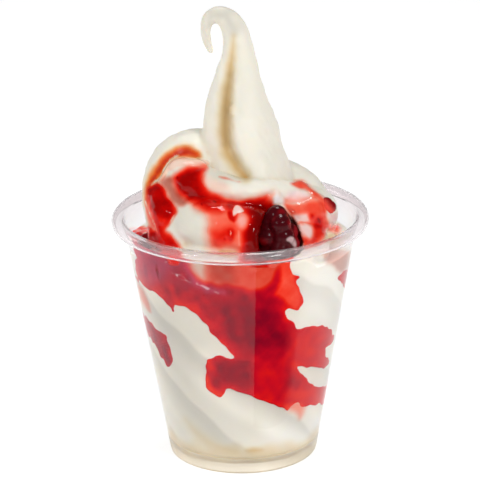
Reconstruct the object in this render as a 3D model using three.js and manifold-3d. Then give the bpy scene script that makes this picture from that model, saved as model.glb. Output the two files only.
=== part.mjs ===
// Berry sundae: soft-serve ice cream and berry sauce in a clear plastic cup.
// Millimetres, +Z up, origin at the centre of the cup's foot, front towards -Y.
import * as THREE from "three";
import { mergeVertices } from "three/addons/utils/BufferGeometryUtils.js";
import Module from "manifold-3d";

const wasm = await Module();
wasm.setup();

// Driving dimensions of the cup
const CUP_HEIGHT = 90.5;
const RIM_RADIUS = 46;
const WALL = 0.6;
const WALL_LOW_RADIUS = 26.7;
const WALL_SLOPE = 0.1722;
const LIP_RADIUS = 2.35;
const LIP_END_ANGLE = -60;
const FLOOR_LEVEL = 4;
const FOOT_WIDTH = 2;
const CUP_SEGMENTS = 36;

// Clearance between neighbouring pieces
const GAP = 0.3;

// Soft-serve in the cup: folds that run down to the right, each with a steep and a gentle bank
const FILL_TOP = 79;
const FOLD_STARTS = 6;
const FOLD_SPACING = 27;
const FOLD_PHASE = 0.132;
const FOLD_DEPTH = 0.9;
const FOLD_STEEP = 0.06;
const FOLD_GENTLE = 0.24;
const FILL_SEGMENTS = 48;

const degrees = THREE.MathUtils.degToRad;
const smooth = THREE.MathUtils.smoothstep;
const outerRadius = (z) => WALL_LOW_RADIUS + WALL_SLOPE * z;
const innerRadius = (z) => outerRadius(z) - WALL;
const contentRadius = (z) => innerRadius(z) - GAP;

// Closed-mesh helpers

function solid(geometry) {
  const bare = new THREE.BufferGeometry();
  bare.setAttribute("position", geometry.getAttribute("position"));
  bare.setIndex(geometry.index);
  const merged = mergeVertices(bare, 1e-4);
  return new wasm.Manifold(
    new wasm.Mesh({
      numProp: 3,
      vertProperties: new Float32Array(merged.attributes.position.array),
      triVerts: new Uint32Array(merged.index.array),
    }),
  );
}

function geometryOf(manifold) {
  const raw = manifold.getMesh();
  const geometry = new THREE.BufferGeometry();
  geometry.setAttribute("position", new THREE.BufferAttribute(raw.vertProperties, 3));
  geometry.setIndex(new THREE.BufferAttribute(raw.triVerts, 1));
  return geometry;
}

const joined = (solids) => solids.reduce((all, one) => all.add(one));

function indexed(vertices, triangles) {
  const geometry = new THREE.BufferGeometry();
  geometry.setAttribute("position", new THREE.Float32BufferAttribute(vertices.flat(), 3));
  geometry.setIndex(triangles.flat());
  return geometry;
}

function lathe(profile, segments) {
  const points = profile.map(([r, z]) => new THREE.Vector2(r, z));
  return new THREE.LatheGeometry(points, segments).rotateX(Math.PI / 2);
}

// A closed loft through rings of equal length, with a point at each end.
function loft(rings, first, last) {
  const sides = rings[0].length;
  const vertices = [first, ...rings.flat(), last];
  const end = vertices.length - 1;
  const at = (ring, side) => 1 + ring * sides + (side % sides);
  const triangles = [];
  for (let side = 0; side < sides; side++) {
    triangles.push([0, at(0, side + 1), at(0, side)]);
    for (let ring = 0; ring + 1 < rings.length; ring++) {
      triangles.push([at(ring, side), at(ring, side + 1), at(ring + 1, side + 1)]);
      triangles.push([at(ring, side), at(ring + 1, side + 1), at(ring + 1, side)]);
    }
    triangles.push([end, at(rings.length - 1, side), at(rings.length - 1, side + 1)]);
  }
  return indexed(vertices, triangles);
}

const UPWARD = new THREE.Vector3(0, 0, 1);
const FORWARD = new THREE.Vector3(0, -1, 0);
const CAP_ANGLES = [60, 28];

const PLAIN_ROPE = { sides: 12, steps: 10, grow: 0, reference: UPWARD, turn: () => 0, section: () => 1 };

// A rope of soft-serve or sauce along knots [x, y, z, radius], with round ends.
// turn(t) rotates its cross-section from the reference direction, and section(angle, t) scales the radius.
function rope(knots, options) {
  const { sides, steps, grow, reference, turn, section } = { ...PLAIN_ROPE, ...options };
  const curve = new THREE.CatmullRomCurve3(knots.map(([x, y, z]) => new THREE.Vector3(x, y, z)));
  const radii = new THREE.SplineCurve(knots.map((knot, i) => new THREE.Vector2(i, knot[3])));
  const ring = (centre, tangent, radius, t) => {
    const ahead = reference.clone().addScaledVector(tangent, -reference.dot(tangent)).normalize();
    const across = tangent.clone().cross(ahead);
    return Array.from({ length: sides }, (_, side) => {
      const angle = (2 * Math.PI * side) / sides;
      const reach = radius * section(angle, t) + grow;
      return centre
        .clone()
        .addScaledVector(ahead, reach * Math.cos(angle + turn(t)))
        .addScaledVector(across, reach * Math.sin(angle + turn(t)))
        .toArray();
    });
  };
  const station = (t) => {
    return { t, centre: curve.getPoint(t), tangent: curve.getTangent(t), radius: radii.getPoint(t).y };
  };
  const cap = (s, way, angle) => {
    const radius = s.radius + grow;
    const centre = s.centre.clone().addScaledVector(s.tangent, way * radius * Math.sin(degrees(angle)));
    return ring(centre, s.tangent, radius * Math.cos(degrees(angle)) - grow, s.t);
  };
  const tip = (s, way) => s.centre.clone().addScaledVector(s.tangent, way * (s.radius + grow)).toArray();
  const stations = Array.from({ length: steps + 1 }, (_, i) => station(i / steps));
  const start = stations[0];
  const end = stations[steps];
  const rings = [
    ...CAP_ANGLES.map((angle) => cap(start, -1, angle)),
    ...stations.map((s) => ring(s.centre, s.tangent, s.radius, s.t)),
    ...CAP_ANGLES.toReversed().map((angle) => cap(end, 1, angle)),
  ];
  return solid(loft(rings, tip(start, -1), tip(end, 1)));
}

// Cup: conical wall, raised floor, foot ring and a lip curled outwards

function cupProfile() {
  const lipCentre = [RIM_RADIUS - LIP_RADIUS, CUP_HEIGHT - LIP_RADIUS];
  const lipArc = (radius, from, to, count) =>
    Array.from({ length: count }, (_, i) => {
      const angle = degrees(from + ((to - from) * i) / (count - 1));
      return [lipCentre[0] + radius * Math.cos(angle), lipCentre[1] + radius * Math.sin(angle)];
    });
  const footOuter = outerRadius(1.2);
  const footInner = footOuter - FOOT_WIDTH;
  return [
    [0, FLOOR_LEVEL],
    [footInner - 3, FLOOR_LEVEL],
    [footInner - 1, FLOOR_LEVEL - 0.7],
    [footInner - 0.4, 0.5],
    [footInner + 0.2, 0],
    [footOuter - 0.8, 0],
    [footOuter, 1.2],
    [outerRadius(lipCentre[1] - 1), lipCentre[1] - 1],
    ...lipArc(LIP_RADIUS - WALL, 180, LIP_END_ANGLE, 6),
    ...lipArc(LIP_RADIUS, LIP_END_ANGLE, 180, 8),
    [innerRadius(lipCentre[1] - 1), lipCentre[1] - 1],
    [innerRadius(FLOOR_LEVEL + 3), FLOOR_LEVEL + 3],
    [innerRadius(FLOOR_LEVEL) - 1, FLOOR_LEVEL + 1.2],
    [innerRadius(FLOOR_LEVEL) - 3, FLOOR_LEVEL + WALL],
    [0, FLOOR_LEVEL + WALL],
  ];
}

// Ice cream that fills the cup, with helical folds pressed against the wall.
// Its mesh lines turn with the folds.

function foldDepth(phase, z) {
  const along = phase % 1;
  const steep = Math.exp(-((along / FOLD_STEEP) ** 2));
  const gentle = Math.exp(-(((1 - along) / FOLD_GENTLE) ** 2));
  const onWall = smooth(z, FLOOR_LEVEL, FLOOR_LEVEL + 12);
  const belowTop = 1 - smooth(z, FILL_TOP - 4, FILL_TOP + 3);
  return FOLD_DEPTH * Math.max(steep, gentle) * onWall * belowTop;
}

function fillRing(radius, z, grow) {
  const turned = Math.min(z, FILL_TOP) / FOLD_SPACING;
  return Array.from({ length: FILL_SEGMENTS }, (_, side) => {
    const phase = (FOLD_STARTS * side) / FILL_SEGMENTS;
    const angle = (2 * Math.PI * (phase - turned - FOLD_PHASE)) / FOLD_STARTS;
    const reach = radius + grow - foldDepth(phase, z);
    return [reach * Math.cos(angle), reach * Math.sin(angle), z + grow * Math.sign(z - FILL_TOP)];
  });
}

function cupFill(grow = 0) {
  const low = FLOOR_LEVEL + WALL + GAP;
  const peakLevel = FILL_TOP + 28;
  const wallRings = 9;
  const wallStart = low + 2.6;
  const wall = Array.from({ length: wallRings }, (_, i) => {
    const z = wallStart + ((FILL_TOP - wallStart) * i) / (wallRings - 1);
    return [contentRadius(z), z];
  });
  const profile = [
    [contentRadius(low) - 3.4, low + 0.1],
    [contentRadius(low) - 1.1, low + 0.9],
    ...wall,
    [contentRadius(FILL_TOP) - 1.4, FILL_TOP + 1.4],
    [33, FILL_TOP + 2.6],
    [29, FILL_TOP + 9],
    [24, FILL_TOP + 18],
    [17, FILL_TOP + 26],
  ];
  const rings = profile.map(([radius, z]) => fillRing(radius, z, grow));
  return solid(loft(rings, [0, 0, low - grow], [0, 0, peakLevel + grow]));
}

// Ropes of soft-serve coiled above the cup

const OUTER_COIL = [
  [-21, -20, 88, 10],
  [-22, -13, 95, 11.8],
  [-21.6, -4, 101, 13.1],
  [-17.5, 3, 104, 15.3],
  [-4, 12, 99.5, 15.5],
  [10.7, 9, 94, 14.8],
  [19.5, 4, 93.5, 11.3],
  [23, -3, 87, 11],
];
const UPPER_COIL = [
  [-18.5, -12, 106.2, 7.5],
  [-12, -16.5, 105, 7.2],
  [0, -18.5, 102.4, 6.6],
  [11, -16.5, 100.8, 6.4],
  [19.9, -9.5, 97.8, 6.4],
  [26, -1, 92.5, 6],
];
const LOWER_COIL = [
  [-20, -19, 94.5, 8.5],
  [-12, -25, 94, 9.5],
  [0, -28, 91.5, 10],
  [12, -27, 88, 10],
  [22, -21, 85, 9],
];
const FRONT_LOBE = [
  [-21, -26, 80.5, 8],
  [-8, -31, 82.5, 8.6],
  [6, -31.5, 81, 8.6],
  [17, -28, 79, 8],
];
const RIGHT_LOBE = [
  [13, -21, 92, 8],
  [22, -15, 94, 9.4],
  [26, -4, 91.5, 8.6],
  [25, 8, 87, 9],
];

// The peak pulled up to a hooked tip, with two lobes and a seam that turns as it rises.
// The seam has one steep bank and one gentle bank.

const PEAK = [
  [2.2, -1.5, 99, 17.6],
  [1.8, -0.8, 106, 16.4],
  [0.9, 0, 113.5, 14.8],
  [0.5, 0, 121, 14.1],
  [-0.3, 0, 129.7, 11.8],
  [-0.2, 0, 138.5, 9.1],
  [0.2, 0, 147.2, 6.5],
  [-0.1, 0, 152.5, 5.2],
  [-1, 0, 157.2, 4.6],
  [-3.4, 0, 161.2, 3.9],
  [-6.9, 0, 163, 3],
  [-10, 0, 161.4, 2.4],
  [-11.1, 0, 157.8, 1.85],
  [-10.8, 0, 153.9, 1.35],
  [-9.6, 0, 150.1, 0.7],
];
const PEAK_LOBES = 2;
const SEAM_DEPTH = 0.3;
const SEAM_LOW_ANGLE = 6;
const SEAM_TURN = -28;
const SEAM_TURNED = 0.24;
const SEAM_END = 0.5;
const STEEP_BANK = 0.06;
const GENTLE_BANK = 0.26;

const seamTurn = (t) => degrees(SEAM_LOW_ANGLE + SEAM_TURN * smooth(t, 0, SEAM_TURNED));

function peakSection(angle, t) {
  const along = ((angle * PEAK_LOBES) / (2 * Math.PI)) % 1;
  const steep = Math.exp(-((along / STEEP_BANK) ** 2));
  const gentle = Math.exp(-(((1 - along) / GENTLE_BANK) ** 2));
  const fade = 1 - smooth(t, SEAM_END * 0.8, SEAM_END);
  return 1 - SEAM_DEPTH * Math.max(steep, gentle) * fade;
}

function peak(grow) {
  const shape = { reference: FORWARD, turn: seamTurn, section: peakSection };
  return rope(PEAK, { sides: 24, steps: 28, grow, ...shape });
}

// The space inside the upper half of the cup, whose wall presses the coils flat

function upperSpace(margin) {
  const low = CUP_HEIGHT / 2;
  const top = 2 * CUP_HEIGHT;
  const profile = [
    [0, low],
    [contentRadius(low) - margin, low],
    [contentRadius(CUP_HEIGHT) - margin, CUP_HEIGHT],
    [contentRadius(CUP_HEIGHT) - margin, top],
    [0, top],
  ];
  return solid(lathe(profile, FILL_SEGMENTS));
}

function swirl(grow = 0) {
  const coils = [OUTER_COIL, UPPER_COIL, LOWER_COIL, FRONT_LOBE, RIGHT_LOBE];
  const ropes = coils.map((knots) => rope(knots, { grow, sides: knots === OUTER_COIL ? 16 : 12 }));
  const pressed = joined(ropes).intersect(upperSpace(0.5 - grow));
  return joined([cupFill(grow), pressed, peak(grow)]);
}

// Sauce that shows through the wall, between edges of [angle in degrees, height] points.
// The front is at -90 and the right side at 0.

const FRONT_UPPER = {
  depth: 18,
  lower: [
    [-150, 80.5],
    [-140, 72],
    [-130, 65.5],
    [-116, 61.5],
    [-105, 55],
    [-96, 48.5],
    [-82, 42],
    [-60, 40],
    [-40, 38],
    [-25, 37],
  ],
  upper: [
    [-150, 82.5],
    [-138, 83.5],
    [-120, 83],
    [-104, 79],
    [-86, 75],
    [-76, 76],
    [-66, 67],
    [-54, 59.5],
    [-40, 56],
    [-25, 48],
  ],
};
const FRONT_LOWER = {
  depth: 16,
  lower: [
    [-114, 37],
    [-103, 33.3],
    [-89, 33],
    [-75, 29.5],
    [-60, 25.5],
    [-42, 21],
    [-24, 20.8],
    [-6, 18.4],
    [15, 17],
    [30, 17],
  ],
  upper: [
    [-114, 42],
    [-104, 47.5],
    [-90, 48],
    [-75, 46],
    [-57, 42],
    [-44, 34],
    [-24, 28.4],
    [-6, 26.5],
    [15, 23],
    [30, 19],
  ],
};
const BACK_SWEEP = {
  depth: 14,
  lower: [
    [-27, 70],
    [-10, 63],
    [30, 61],
    [80, 60],
    [130, 55],
    [175, 50],
    [198, 46.5],
    [212, 44],
    [221, 39.5],
  ],
  upper: [
    [-27, 72.5],
    [-10, 72],
    [30, 70],
    [80, 68],
    [130, 64],
    [175, 58],
    [198, 54],
    [214, 54],
    [224, 47],
  ],
};
const PATCH_COLUMNS = 16;
const PATCH_ROWS = 4;
const PATCH_EDGE = 0.8;

function wallPatch({ depth, lower, upper }, grow = 0) {
  const edge = (points) => new THREE.SplineCurve(points.map((point) => new THREE.Vector2(...point)));
  const low = edge(lower);
  const high = edge(upper);
  const outside = [];
  const inside = [];
  for (let i = 0; i <= PATCH_COLUMNS; i++) {
    const along = i / PATCH_COLUMNS;
    for (let j = 0; j <= PATCH_ROWS; j++) {
      const up = j / PATCH_ROWS;
      const place = low.getPoint(along).lerp(high.getPoint(along), up);
      const z = place.y + grow * (2 * up - 1);
      const angle = degrees(place.x) + (grow / contentRadius(z)) * (2 * along - 1);
      const bulge = (Math.sin(Math.PI * up) * Math.sin(Math.PI * along)) ** 0.7;
      const outer = contentRadius(z) + 4 * grow;
      const inner = contentRadius(z) - PATCH_EDGE - depth * bulge - grow;
      outside.push([outer * Math.cos(angle), outer * Math.sin(angle), z]);
      inside.push([inner * Math.cos(angle), inner * Math.sin(angle), z]);
    }
  }
  const at = (i, j) => i * (PATCH_ROWS + 1) + j;
  const within = (i, j) => outside.length + at(i, j);
  const triangles = [];
  for (let i = 0; i < PATCH_COLUMNS; i++) {
    for (let j = 0; j < PATCH_ROWS; j++) {
      triangles.push([at(i, j), at(i + 1, j), at(i + 1, j + 1)]);
      triangles.push([at(i, j), at(i + 1, j + 1), at(i, j + 1)]);
      triangles.push([within(i, j), within(i + 1, j + 1), within(i + 1, j)]);
      triangles.push([within(i, j), within(i, j + 1), within(i + 1, j + 1)]);
    }
  }
  const side = ([i, j], [k, l]) => {
    triangles.push([at(k, l), at(i, j), within(i, j)], [at(k, l), within(i, j), within(k, l)]);
  };
  for (let i = 0; i < PATCH_COLUMNS; i++) {
    side([i, 0], [i + 1, 0]);
    side([i + 1, PATCH_ROWS], [i, PATCH_ROWS]);
  }
  for (let j = 0; j < PATCH_ROWS; j++) {
    side([PATCH_COLUMNS, j], [PATCH_COLUMNS, j + 1]);
    side([0, j + 1], [0, j]);
  }
  return solid(indexed([...outside, ...inside], triangles));
}

// Sauce poured over the coils: strokes half sunk in the soft-serve

const LEFT_STREAM = [
  [-15.5, -7.5, 111.5, 2.6],
  [-18, -7, 113, 3.2],
  [-22, -6, 113.5, 3.6],
  [-25, -7.5, 111, 4.2],
  [-28, -9.5, 107.5, 4.6],
  [-29, -13, 104, 4.8],
  [-28, -17.5, 100, 4.8],
  [-27, -21.5, 95.5, 4.6],
  [-25, -25, 92, 4.2],
  [-22.5, -27, 89, 4],
];
const PATCH_UPPER = [
  [-12.5, -13, 109.5, 3],
  [-15.5, -16, 110, 4],
  [-19, -16, 109, 4.4],
  [-21, -16, 107, 4.2],
];
const PATCH_LOWER = [
  [-19, -17.5, 107, 5],
  [-16, -19.5, 105.5, 5.5],
  [-12, -21, 103.5, 5],
  [-8.5, -27, 100.5, 4],
  [-2, -22.5, 102.5, 3.6],
  [4, -22, 103, 3.4],
  [9, -20.5, 104, 3],
];
const CENTRE_LEFT = [
  [-9.5, -28, 100, 4.5],
  [-6, -31.5, 98.5, 5.5],
  [-4.5, -34, 96, 6],
  [-3, -35, 92.5, 5],
  [-0.5, -35, 90, 4.5],
];
const CENTRE_RIGHT = [
  [-0.5, -25.5, 98.5, 5],
  [2, -32, 97.5, 6],
  [3.5, -34.5, 94.5, 6],
  [5, -35.5, 90.5, 6],
  [7, -36, 85, 5.5],
];
const RIGHT_FIELD = [
  [9, -21, 103, 3.4],
  [15, -19.8, 101, 4.4],
  [20, -21.5, 98.5, 5.6],
  [23, -23.5, 95, 6.2],
  [24, -25.5, 91, 6],
  [24, -27, 87.5, 5],
];
const RIGHT_EDGE = [
  [17, -13, 102.6, 2.8],
  [22, -14.2, 101.2, 3.6],
  [25.5, -16.5, 99, 4.6],
  [27.6, -18.2, 96, 5],
  [28.6, -19.4, 92.5, 5],
  [28.2, -21.5, 88.5, 4.5],
];
const LEFT_POOL = [
  [-25, -28, 84.5, 4],
  [-31, -21, 81.5, 4.5],
  [-35, -12, 80.5, 4.5],
  [-36.5, -3, 80.5, 3.5],
];
const LEFT_STROKES = [LEFT_STREAM, LEFT_POOL];
const TOP_STROKES = [PATCH_UPPER, PATCH_LOWER, CENTRE_LEFT, CENTRE_RIGHT, RIGHT_FIELD, RIGHT_EDGE];

// Berries: round drupelets in staggered rows over a tapered core

const DARK_BERRY = {
  centre: [13.1, -28.8, 92.4],
  axis: [-0.12, -0.1, 1],
  length: 20.5,
  width: 15.8,
  drupelet: 3.3,
  taper: 0.65,
};
const LEFT_BERRY = {
  centre: [-33.6, -8, 81],
  axis: [-0.3, -1, 0.1],
  length: 12,
  width: 9.5,
  drupelet: 2.7,
  taper: 0.15,
};
const RIGHT_BERRY = {
  centre: [30.5, -16.6, 98.2],
  axis: [0.6, -0.2, -0.8],
  length: 6.4,
  width: 5.6,
  drupelet: 2,
  taper: 0.1,
};
const DRUPELET_SPACING = 1.72;

const ball = (radius, detail) => new THREE.IcosahedronGeometry(radius, detail);
const tapered = (reach, cosine, taper) => reach * (1 - taper * cosine);

function taperedBall(wide, high, taper, detail) {
  const shape = ball(1, detail);
  const position = shape.getAttribute("position");
  for (let i = 0; i < position.count; i++) {
    const cosine = position.getZ(i);
    const scale = tapered(wide, cosine, taper);
    position.setXYZ(i, position.getX(i) * scale, position.getY(i) * scale, cosine * high);
  }
  return shape;
}

function settle(geometry, { centre, axis }) {
  const tilt = new THREE.Quaternion().setFromUnitVectors(UPWARD, new THREE.Vector3(...axis).normalize());
  return solid(geometry.applyQuaternion(tilt).translate(...centre));
}

function berry(sizes) {
  const { length, width, drupelet, taper } = sizes;
  const high = length / 2 - drupelet;
  const wide = width / 2 - drupelet;
  const rows = Math.round((Math.PI * (high + drupelet / 2)) / (DRUPELET_SPACING * drupelet));
  const grains = [taperedBall(wide, high, taper, 1)];
  for (let row = 0; row < rows; row++) {
    const polar = (Math.PI * (row + 0.5)) / rows;
    const reach = tapered(wide * Math.sin(polar), Math.cos(polar), taper);
    const count = Math.max(3, Math.round((2 * Math.PI * reach) / (DRUPELET_SPACING * drupelet)));
    for (let i = 0; i < count; i++) {
      const turn = (2 * Math.PI * (i + 0.5 * (row % 2))) / count;
      const grain = new THREE.DodecahedronGeometry(drupelet);
      grains.push(grain.translate(reach * Math.cos(turn), reach * Math.sin(turn), high * Math.cos(polar)));
    }
  }
  return joined(grains.map((grain) => settle(grain, sizes)));
}

// A smooth hollow that holds the berry with some room, less tapered than the berry
function berryHollow(sizes) {
  const fit = 1.03;
  const lessTaper = 0.6 * sizes.taper;
  const wide = fit * (sizes.width / 2 + GAP);
  const high = fit * (sizes.length / 2 + GAP);
  return settle(taperedBall(wide, high, lessTaper, 2), sizes);
}

// Each piece is cut clear of the ones that it touches.

const frontSwirl = joined([wallPatch(FRONT_UPPER), wallPatch(FRONT_LOWER)]);
const frontSwirlRoom = joined([wallPatch(FRONT_UPPER, GAP), wallPatch(FRONT_LOWER, GAP)]);
const berries = { dark_berry: DARK_BERRY, left_berry: LEFT_BERRY, right_berry: RIGHT_BERRY };
const berryRoom = joined(Object.values(berries).map(berryHollow));
const iceCream = swirl()
  .subtract(frontSwirlRoom)
  .subtract(wallPatch(BACK_SWEEP, GAP))
  .subtract(berryRoom);
const swirlRoom = swirl(GAP);
const stroke = (knots, grow) => rope(knots, { sides: 8, steps: 7, grow });
const pour = (strokes, grow = 0) => joined(strokes.map((knots) => stroke(knots, grow)));
const largest = (manifold) => manifold.decompose().reduce((a, b) => (a.volume() > b.volume() ? a : b));

function poured(strokes) {
  const free = pour(strokes).intersect(upperSpace(0));
  return largest(free.subtract(swirlRoom).subtract(frontSwirlRoom).subtract(berryRoom));
}

const leftPour = poured(LEFT_STROKES);
const topPour = largest(poured(TOP_STROKES).subtract(pour(LEFT_STROKES, GAP)));

// Scene graph

function surface(color, roughness, more = {}) {
  return new THREE.MeshStandardMaterial({ color, roughness, metalness: 0, ...more });
}

const clearPlastic = () => surface(0xf2f5f7, 0.08, { transparent: true, opacity: 0.3 });
const softServe = () => surface(0xf3efe2, 0.5);
const redSauce = () => surface(0xb5121a, 0.15);
const berrySkin = () => surface(0x4a0612, 0.2);

const sundae = new THREE.Group();

function place(name, geometry, material) {
  const mesh = new THREE.Mesh(geometry, material);
  mesh.name = name;
  sundae.add(mesh);
}

place("cup", lathe(cupProfile(), CUP_SEGMENTS), clearPlastic());
place("ice_cream", geometryOf(iceCream), softServe());
place("sauce_swirl_front", geometryOf(frontSwirl), redSauce());
place("sauce_swirl_back", geometryOf(wallPatch(BACK_SWEEP)), redSauce());
place("sauce_pour_left", geometryOf(leftPour), redSauce());
place("sauce_pour_top", geometryOf(topPour), redSauce());
Object.entries(berries).forEach(([name, sizes]) => place(name, geometryOf(berry(sizes)), berrySkin()));

export default sundae;
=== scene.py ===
"""Berry sundae: soft serve with berry sauce and berries in a clear plastic cup."""

import math

import bpy
import numpy as np
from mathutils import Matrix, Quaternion, Vector
from mathutils.bvhtree import BVHTree


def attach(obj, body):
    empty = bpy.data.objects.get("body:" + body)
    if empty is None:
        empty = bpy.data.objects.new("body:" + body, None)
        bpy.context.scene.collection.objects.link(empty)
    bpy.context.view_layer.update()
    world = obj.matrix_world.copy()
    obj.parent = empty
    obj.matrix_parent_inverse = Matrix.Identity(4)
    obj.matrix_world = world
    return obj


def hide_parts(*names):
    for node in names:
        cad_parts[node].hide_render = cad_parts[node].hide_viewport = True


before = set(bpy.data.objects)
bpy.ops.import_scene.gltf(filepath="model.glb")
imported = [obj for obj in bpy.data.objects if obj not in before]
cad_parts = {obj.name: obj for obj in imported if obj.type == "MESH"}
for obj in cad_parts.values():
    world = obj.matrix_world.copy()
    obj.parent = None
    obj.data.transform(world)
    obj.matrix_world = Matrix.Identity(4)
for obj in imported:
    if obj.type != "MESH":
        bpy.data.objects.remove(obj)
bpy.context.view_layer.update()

# Lengths are in millimetres unless a comment says otherwise; MM turns them into metres
MM = 0.001

# The cup
CUP_HEIGHT = 90.5
RIM_RADIUS = 46
WALL = 0.6
WALL_LOW_RADIUS = 26.7
WALL_SLOPE = 0.1722
LIP_RADIUS = 2.35
LIP_END_ANGLE = -60
FLOOR_LEVEL = 4
INNER_FLOOR = FLOOR_LEVEL + WALL
CORNER_TOP = FLOOR_LEVEL + 3
FOOT_TOP = 1.2
FOOT_WIDTH = 2
CUP_SEGMENTS = 160
GAP = 0.3

# Corner between floor and wall, inside: [in from the wall, above the floor's underside]
FLOOR_CORNER = [[3, WALL], [1, 1.2]]

# Faces of the foot ring: [from its inner or outer radius, height]
FOOT_INSIDE = [[-1, 3.3], [-0.4, 0.5], [0.2, 0]]
FOOT_OUTSIDE = [[-0.8, 0], [-0.25, 0.35], [0, FOOT_TOP]]

# The photograph's view
PHOTO_SIZE = 480
PHOTO_CENTRE = (240.6, 239.0)
FOCAL_PIXELS = 2793
VIEW_AIM = Vector((0, 0, 80))
VIEW_DISTANCE = 1000
VIEW_ELEVATION = math.radians(19.5)
VIEW_ROLL = math.radians(-0.85)
SENSOR_WIDTH = 36
CLIP_END = 100

UPWARD = np.array([0.0, 0.0, 1.0])
FORWARD = np.array([0.0, -1.0, 0.0])
TINY = 1e-9
FAR = 1000.0


def outer_radius(z):
    return WALL_LOW_RADIUS + WALL_SLOPE * z


def inner_radius(z):
    return outer_radius(z) - WALL


def content_radius(z):
    return inner_radius(z) - GAP


def floor_corner():
    """Points [radius, height] of the inner corner, from the floor upwards."""
    return [[inner_radius(FLOOR_LEVEL) - x, FLOOR_LEVEL + z] for x, z in FLOOR_CORNER]


def smooth_step(x, low, high):
    t = np.clip((x - low) / (high - low), 0, 1)
    return t * t * (3 - 2 * t)


# A smooth random field with unit spread, the sum of waves in random directions
WAVES = 28
WAVE_SPREAD = (0.6, 1.5)


def ripple(points, wavelength, seed):
    draw = np.random.default_rng(seed)
    directions = draw.normal(size=(WAVES, 3))
    directions /= np.linalg.norm(directions, axis=1)[:, None]
    speeds = 2 * math.pi / wavelength * draw.uniform(*WAVE_SPREAD, WAVES)
    phases = draw.uniform(0, 2 * math.pi, WAVES)
    waves = np.cos(points @ (directions * speeds[:, None]).T + phases)
    return waves.sum(1) * math.sqrt(2 / WAVES)


def rough(points, ripples):
    """A sum of ripples, each given as (height, wavelength, seed)."""
    return sum(height * ripple(points, wavelength, seed) for height, wavelength, seed in ripples)


# Meshes as arrays: points in millimetres, and faces as rows of point numbers


def grid_faces(rows, columns, closed):
    last = columns if closed else columns - 1
    row, column = np.meshgrid(np.arange(rows - 1), np.arange(last), indexing="ij")
    beside = (column + 1) % columns
    corners = [row * columns + column, row * columns + beside]
    corners += [(row + 1) * columns + beside, (row + 1) * columns + column]
    return np.stack(corners, -1).reshape(-1, 4)


def loft(rings, first, last):
    """A closed surface through rings of equal length, with a point at each end."""
    rows, sides = rings.shape[:2]
    points = np.vstack([rings.reshape(-1, 3), first, last])
    faces = grid_faces(rows, sides, True).tolist()
    ends = rows * sides
    for side in range(sides):
        beside = (side + 1) % sides
        faces.append([ends, beside, side])
        faces.append([ends + 1, ends - sides + side, ends - sides + beside])
    return points, faces


def lathe(profile, sides):
    """Rings of points round the axis from a profile of [radius, height]."""
    turn = 2 * np.pi * np.arange(sides) / sides
    radius = profile[:, :1]
    return np.stack([radius * np.cos(turn), radius * np.sin(turn), profile[:, 1:] + 0 * turn], -1)


def new_piece(name, points, faces, material):
    mesh = bpy.data.meshes.new(name)
    mesh.from_pydata((np.asarray(points) * MM).tolist(), [], faces)
    mesh.polygons.foreach_set("use_smooth", [True] * len(mesh.polygons))
    if material is not None:
        mesh.materials.append(material)
    piece = bpy.data.objects.new(name, mesh)
    bpy.context.scene.collection.objects.link(piece)
    return piece


def stand_in(piece, node):
    """Puts a piece on the part's one body, in place of a node."""
    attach(piece, "root")
    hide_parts(node)


def mesh_arrays(mesh):
    points = np.zeros(len(mesh.vertices) * 3, np.float32)
    mesh.vertices.foreach_get("co", points)
    faces = [list(polygon.vertices) for polygon in mesh.polygons]
    return points.reshape(-1, 3).astype(float) / MM, faces


def modified(points, faces, kind, **settings):
    """The arrays of a mesh after one modifier."""
    scratch = new_piece("scratch", points, faces, None)
    modifier = scratch.modifiers.new("change", kind)
    for name, value in settings.items():
        setattr(modifier, name, value)
    evaluated = scratch.evaluated_get(bpy.context.evaluated_depsgraph_get())
    arrays = mesh_arrays(evaluated.to_mesh())
    evaluated.to_mesh_clear()
    mesh = scratch.data
    bpy.data.objects.remove(scratch)
    bpy.data.meshes.remove(mesh)
    return arrays


def fused(parts, voxel):
    """One skin round overlapping closed meshes."""
    points = []
    faces = []
    for part_points, part_faces in parts:
        start = sum(len(p) for p in points)
        points.append(part_points)
        faces += [[start + corner for corner in face] for face in part_faces]
    return modified(np.vstack(points), faces, "REMESH", mode="VOXEL", voxel_size=voxel * MM)


def face_sides(faces):
    return np.vstack([np.stack([faces[:, i], faces[:, (i + 1) % 4]], 1) for i in range(4)])


def edges_of(faces):
    return np.unique(np.sort(face_sides(faces), axis=1), axis=0)


def relaxed(values, edges, rounds, weight=0.5):
    """Values at points, each moved towards the mean of its neighbours several times."""
    values = np.array(values, float)
    flat = values.ndim == 1
    if flat:
        values = values[:, None]
    weight = np.broadcast_to(weight, len(values))[:, None]
    ends = np.concatenate([edges[:, 0], edges[:, 1]])
    others = np.concatenate([edges[:, 1], edges[:, 0]])
    count = np.bincount(ends, minlength=len(values))[:, None]
    for _ in range(rounds):
        columns = [np.bincount(ends, values[others, i], len(values)) for i in range(values.shape[1])]
        values = values + weight * (np.stack(columns, 1) / count - values)
    return values[:, 0] if flat else values


def normals_of(points, faces):
    across = points[faces[:, 2]] - points[faces[:, 0]]
    along = points[faces[:, 3]] - points[faces[:, 1]]
    face_normals = np.cross(across, along)
    normals = np.zeros_like(points)
    for corner in range(4):
        for axis in range(3):
            normals[:, axis] += np.bincount(faces[:, corner], face_normals[:, axis], len(points))
    return normals / np.maximum(np.linalg.norm(normals, axis=1), TINY)[:, None]


def hollows(points, faces, edges, rounds):
    """How far points lie below the mean of their surroundings."""
    return np.einsum("ij,ij->i", relaxed(points, edges, rounds) - points, normals_of(points, faces))


def paint(piece, name, colours):
    """Stores a linear colour at each point of the piece."""
    layer = piece.data.color_attributes.new(name, "FLOAT_COLOR", "POINT")
    rgba = np.ones((len(colours), 4), np.float32)
    rgba[:, :3] = colours
    layer.data.foreach_set("color", rgba.ravel())


# The camera


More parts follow.
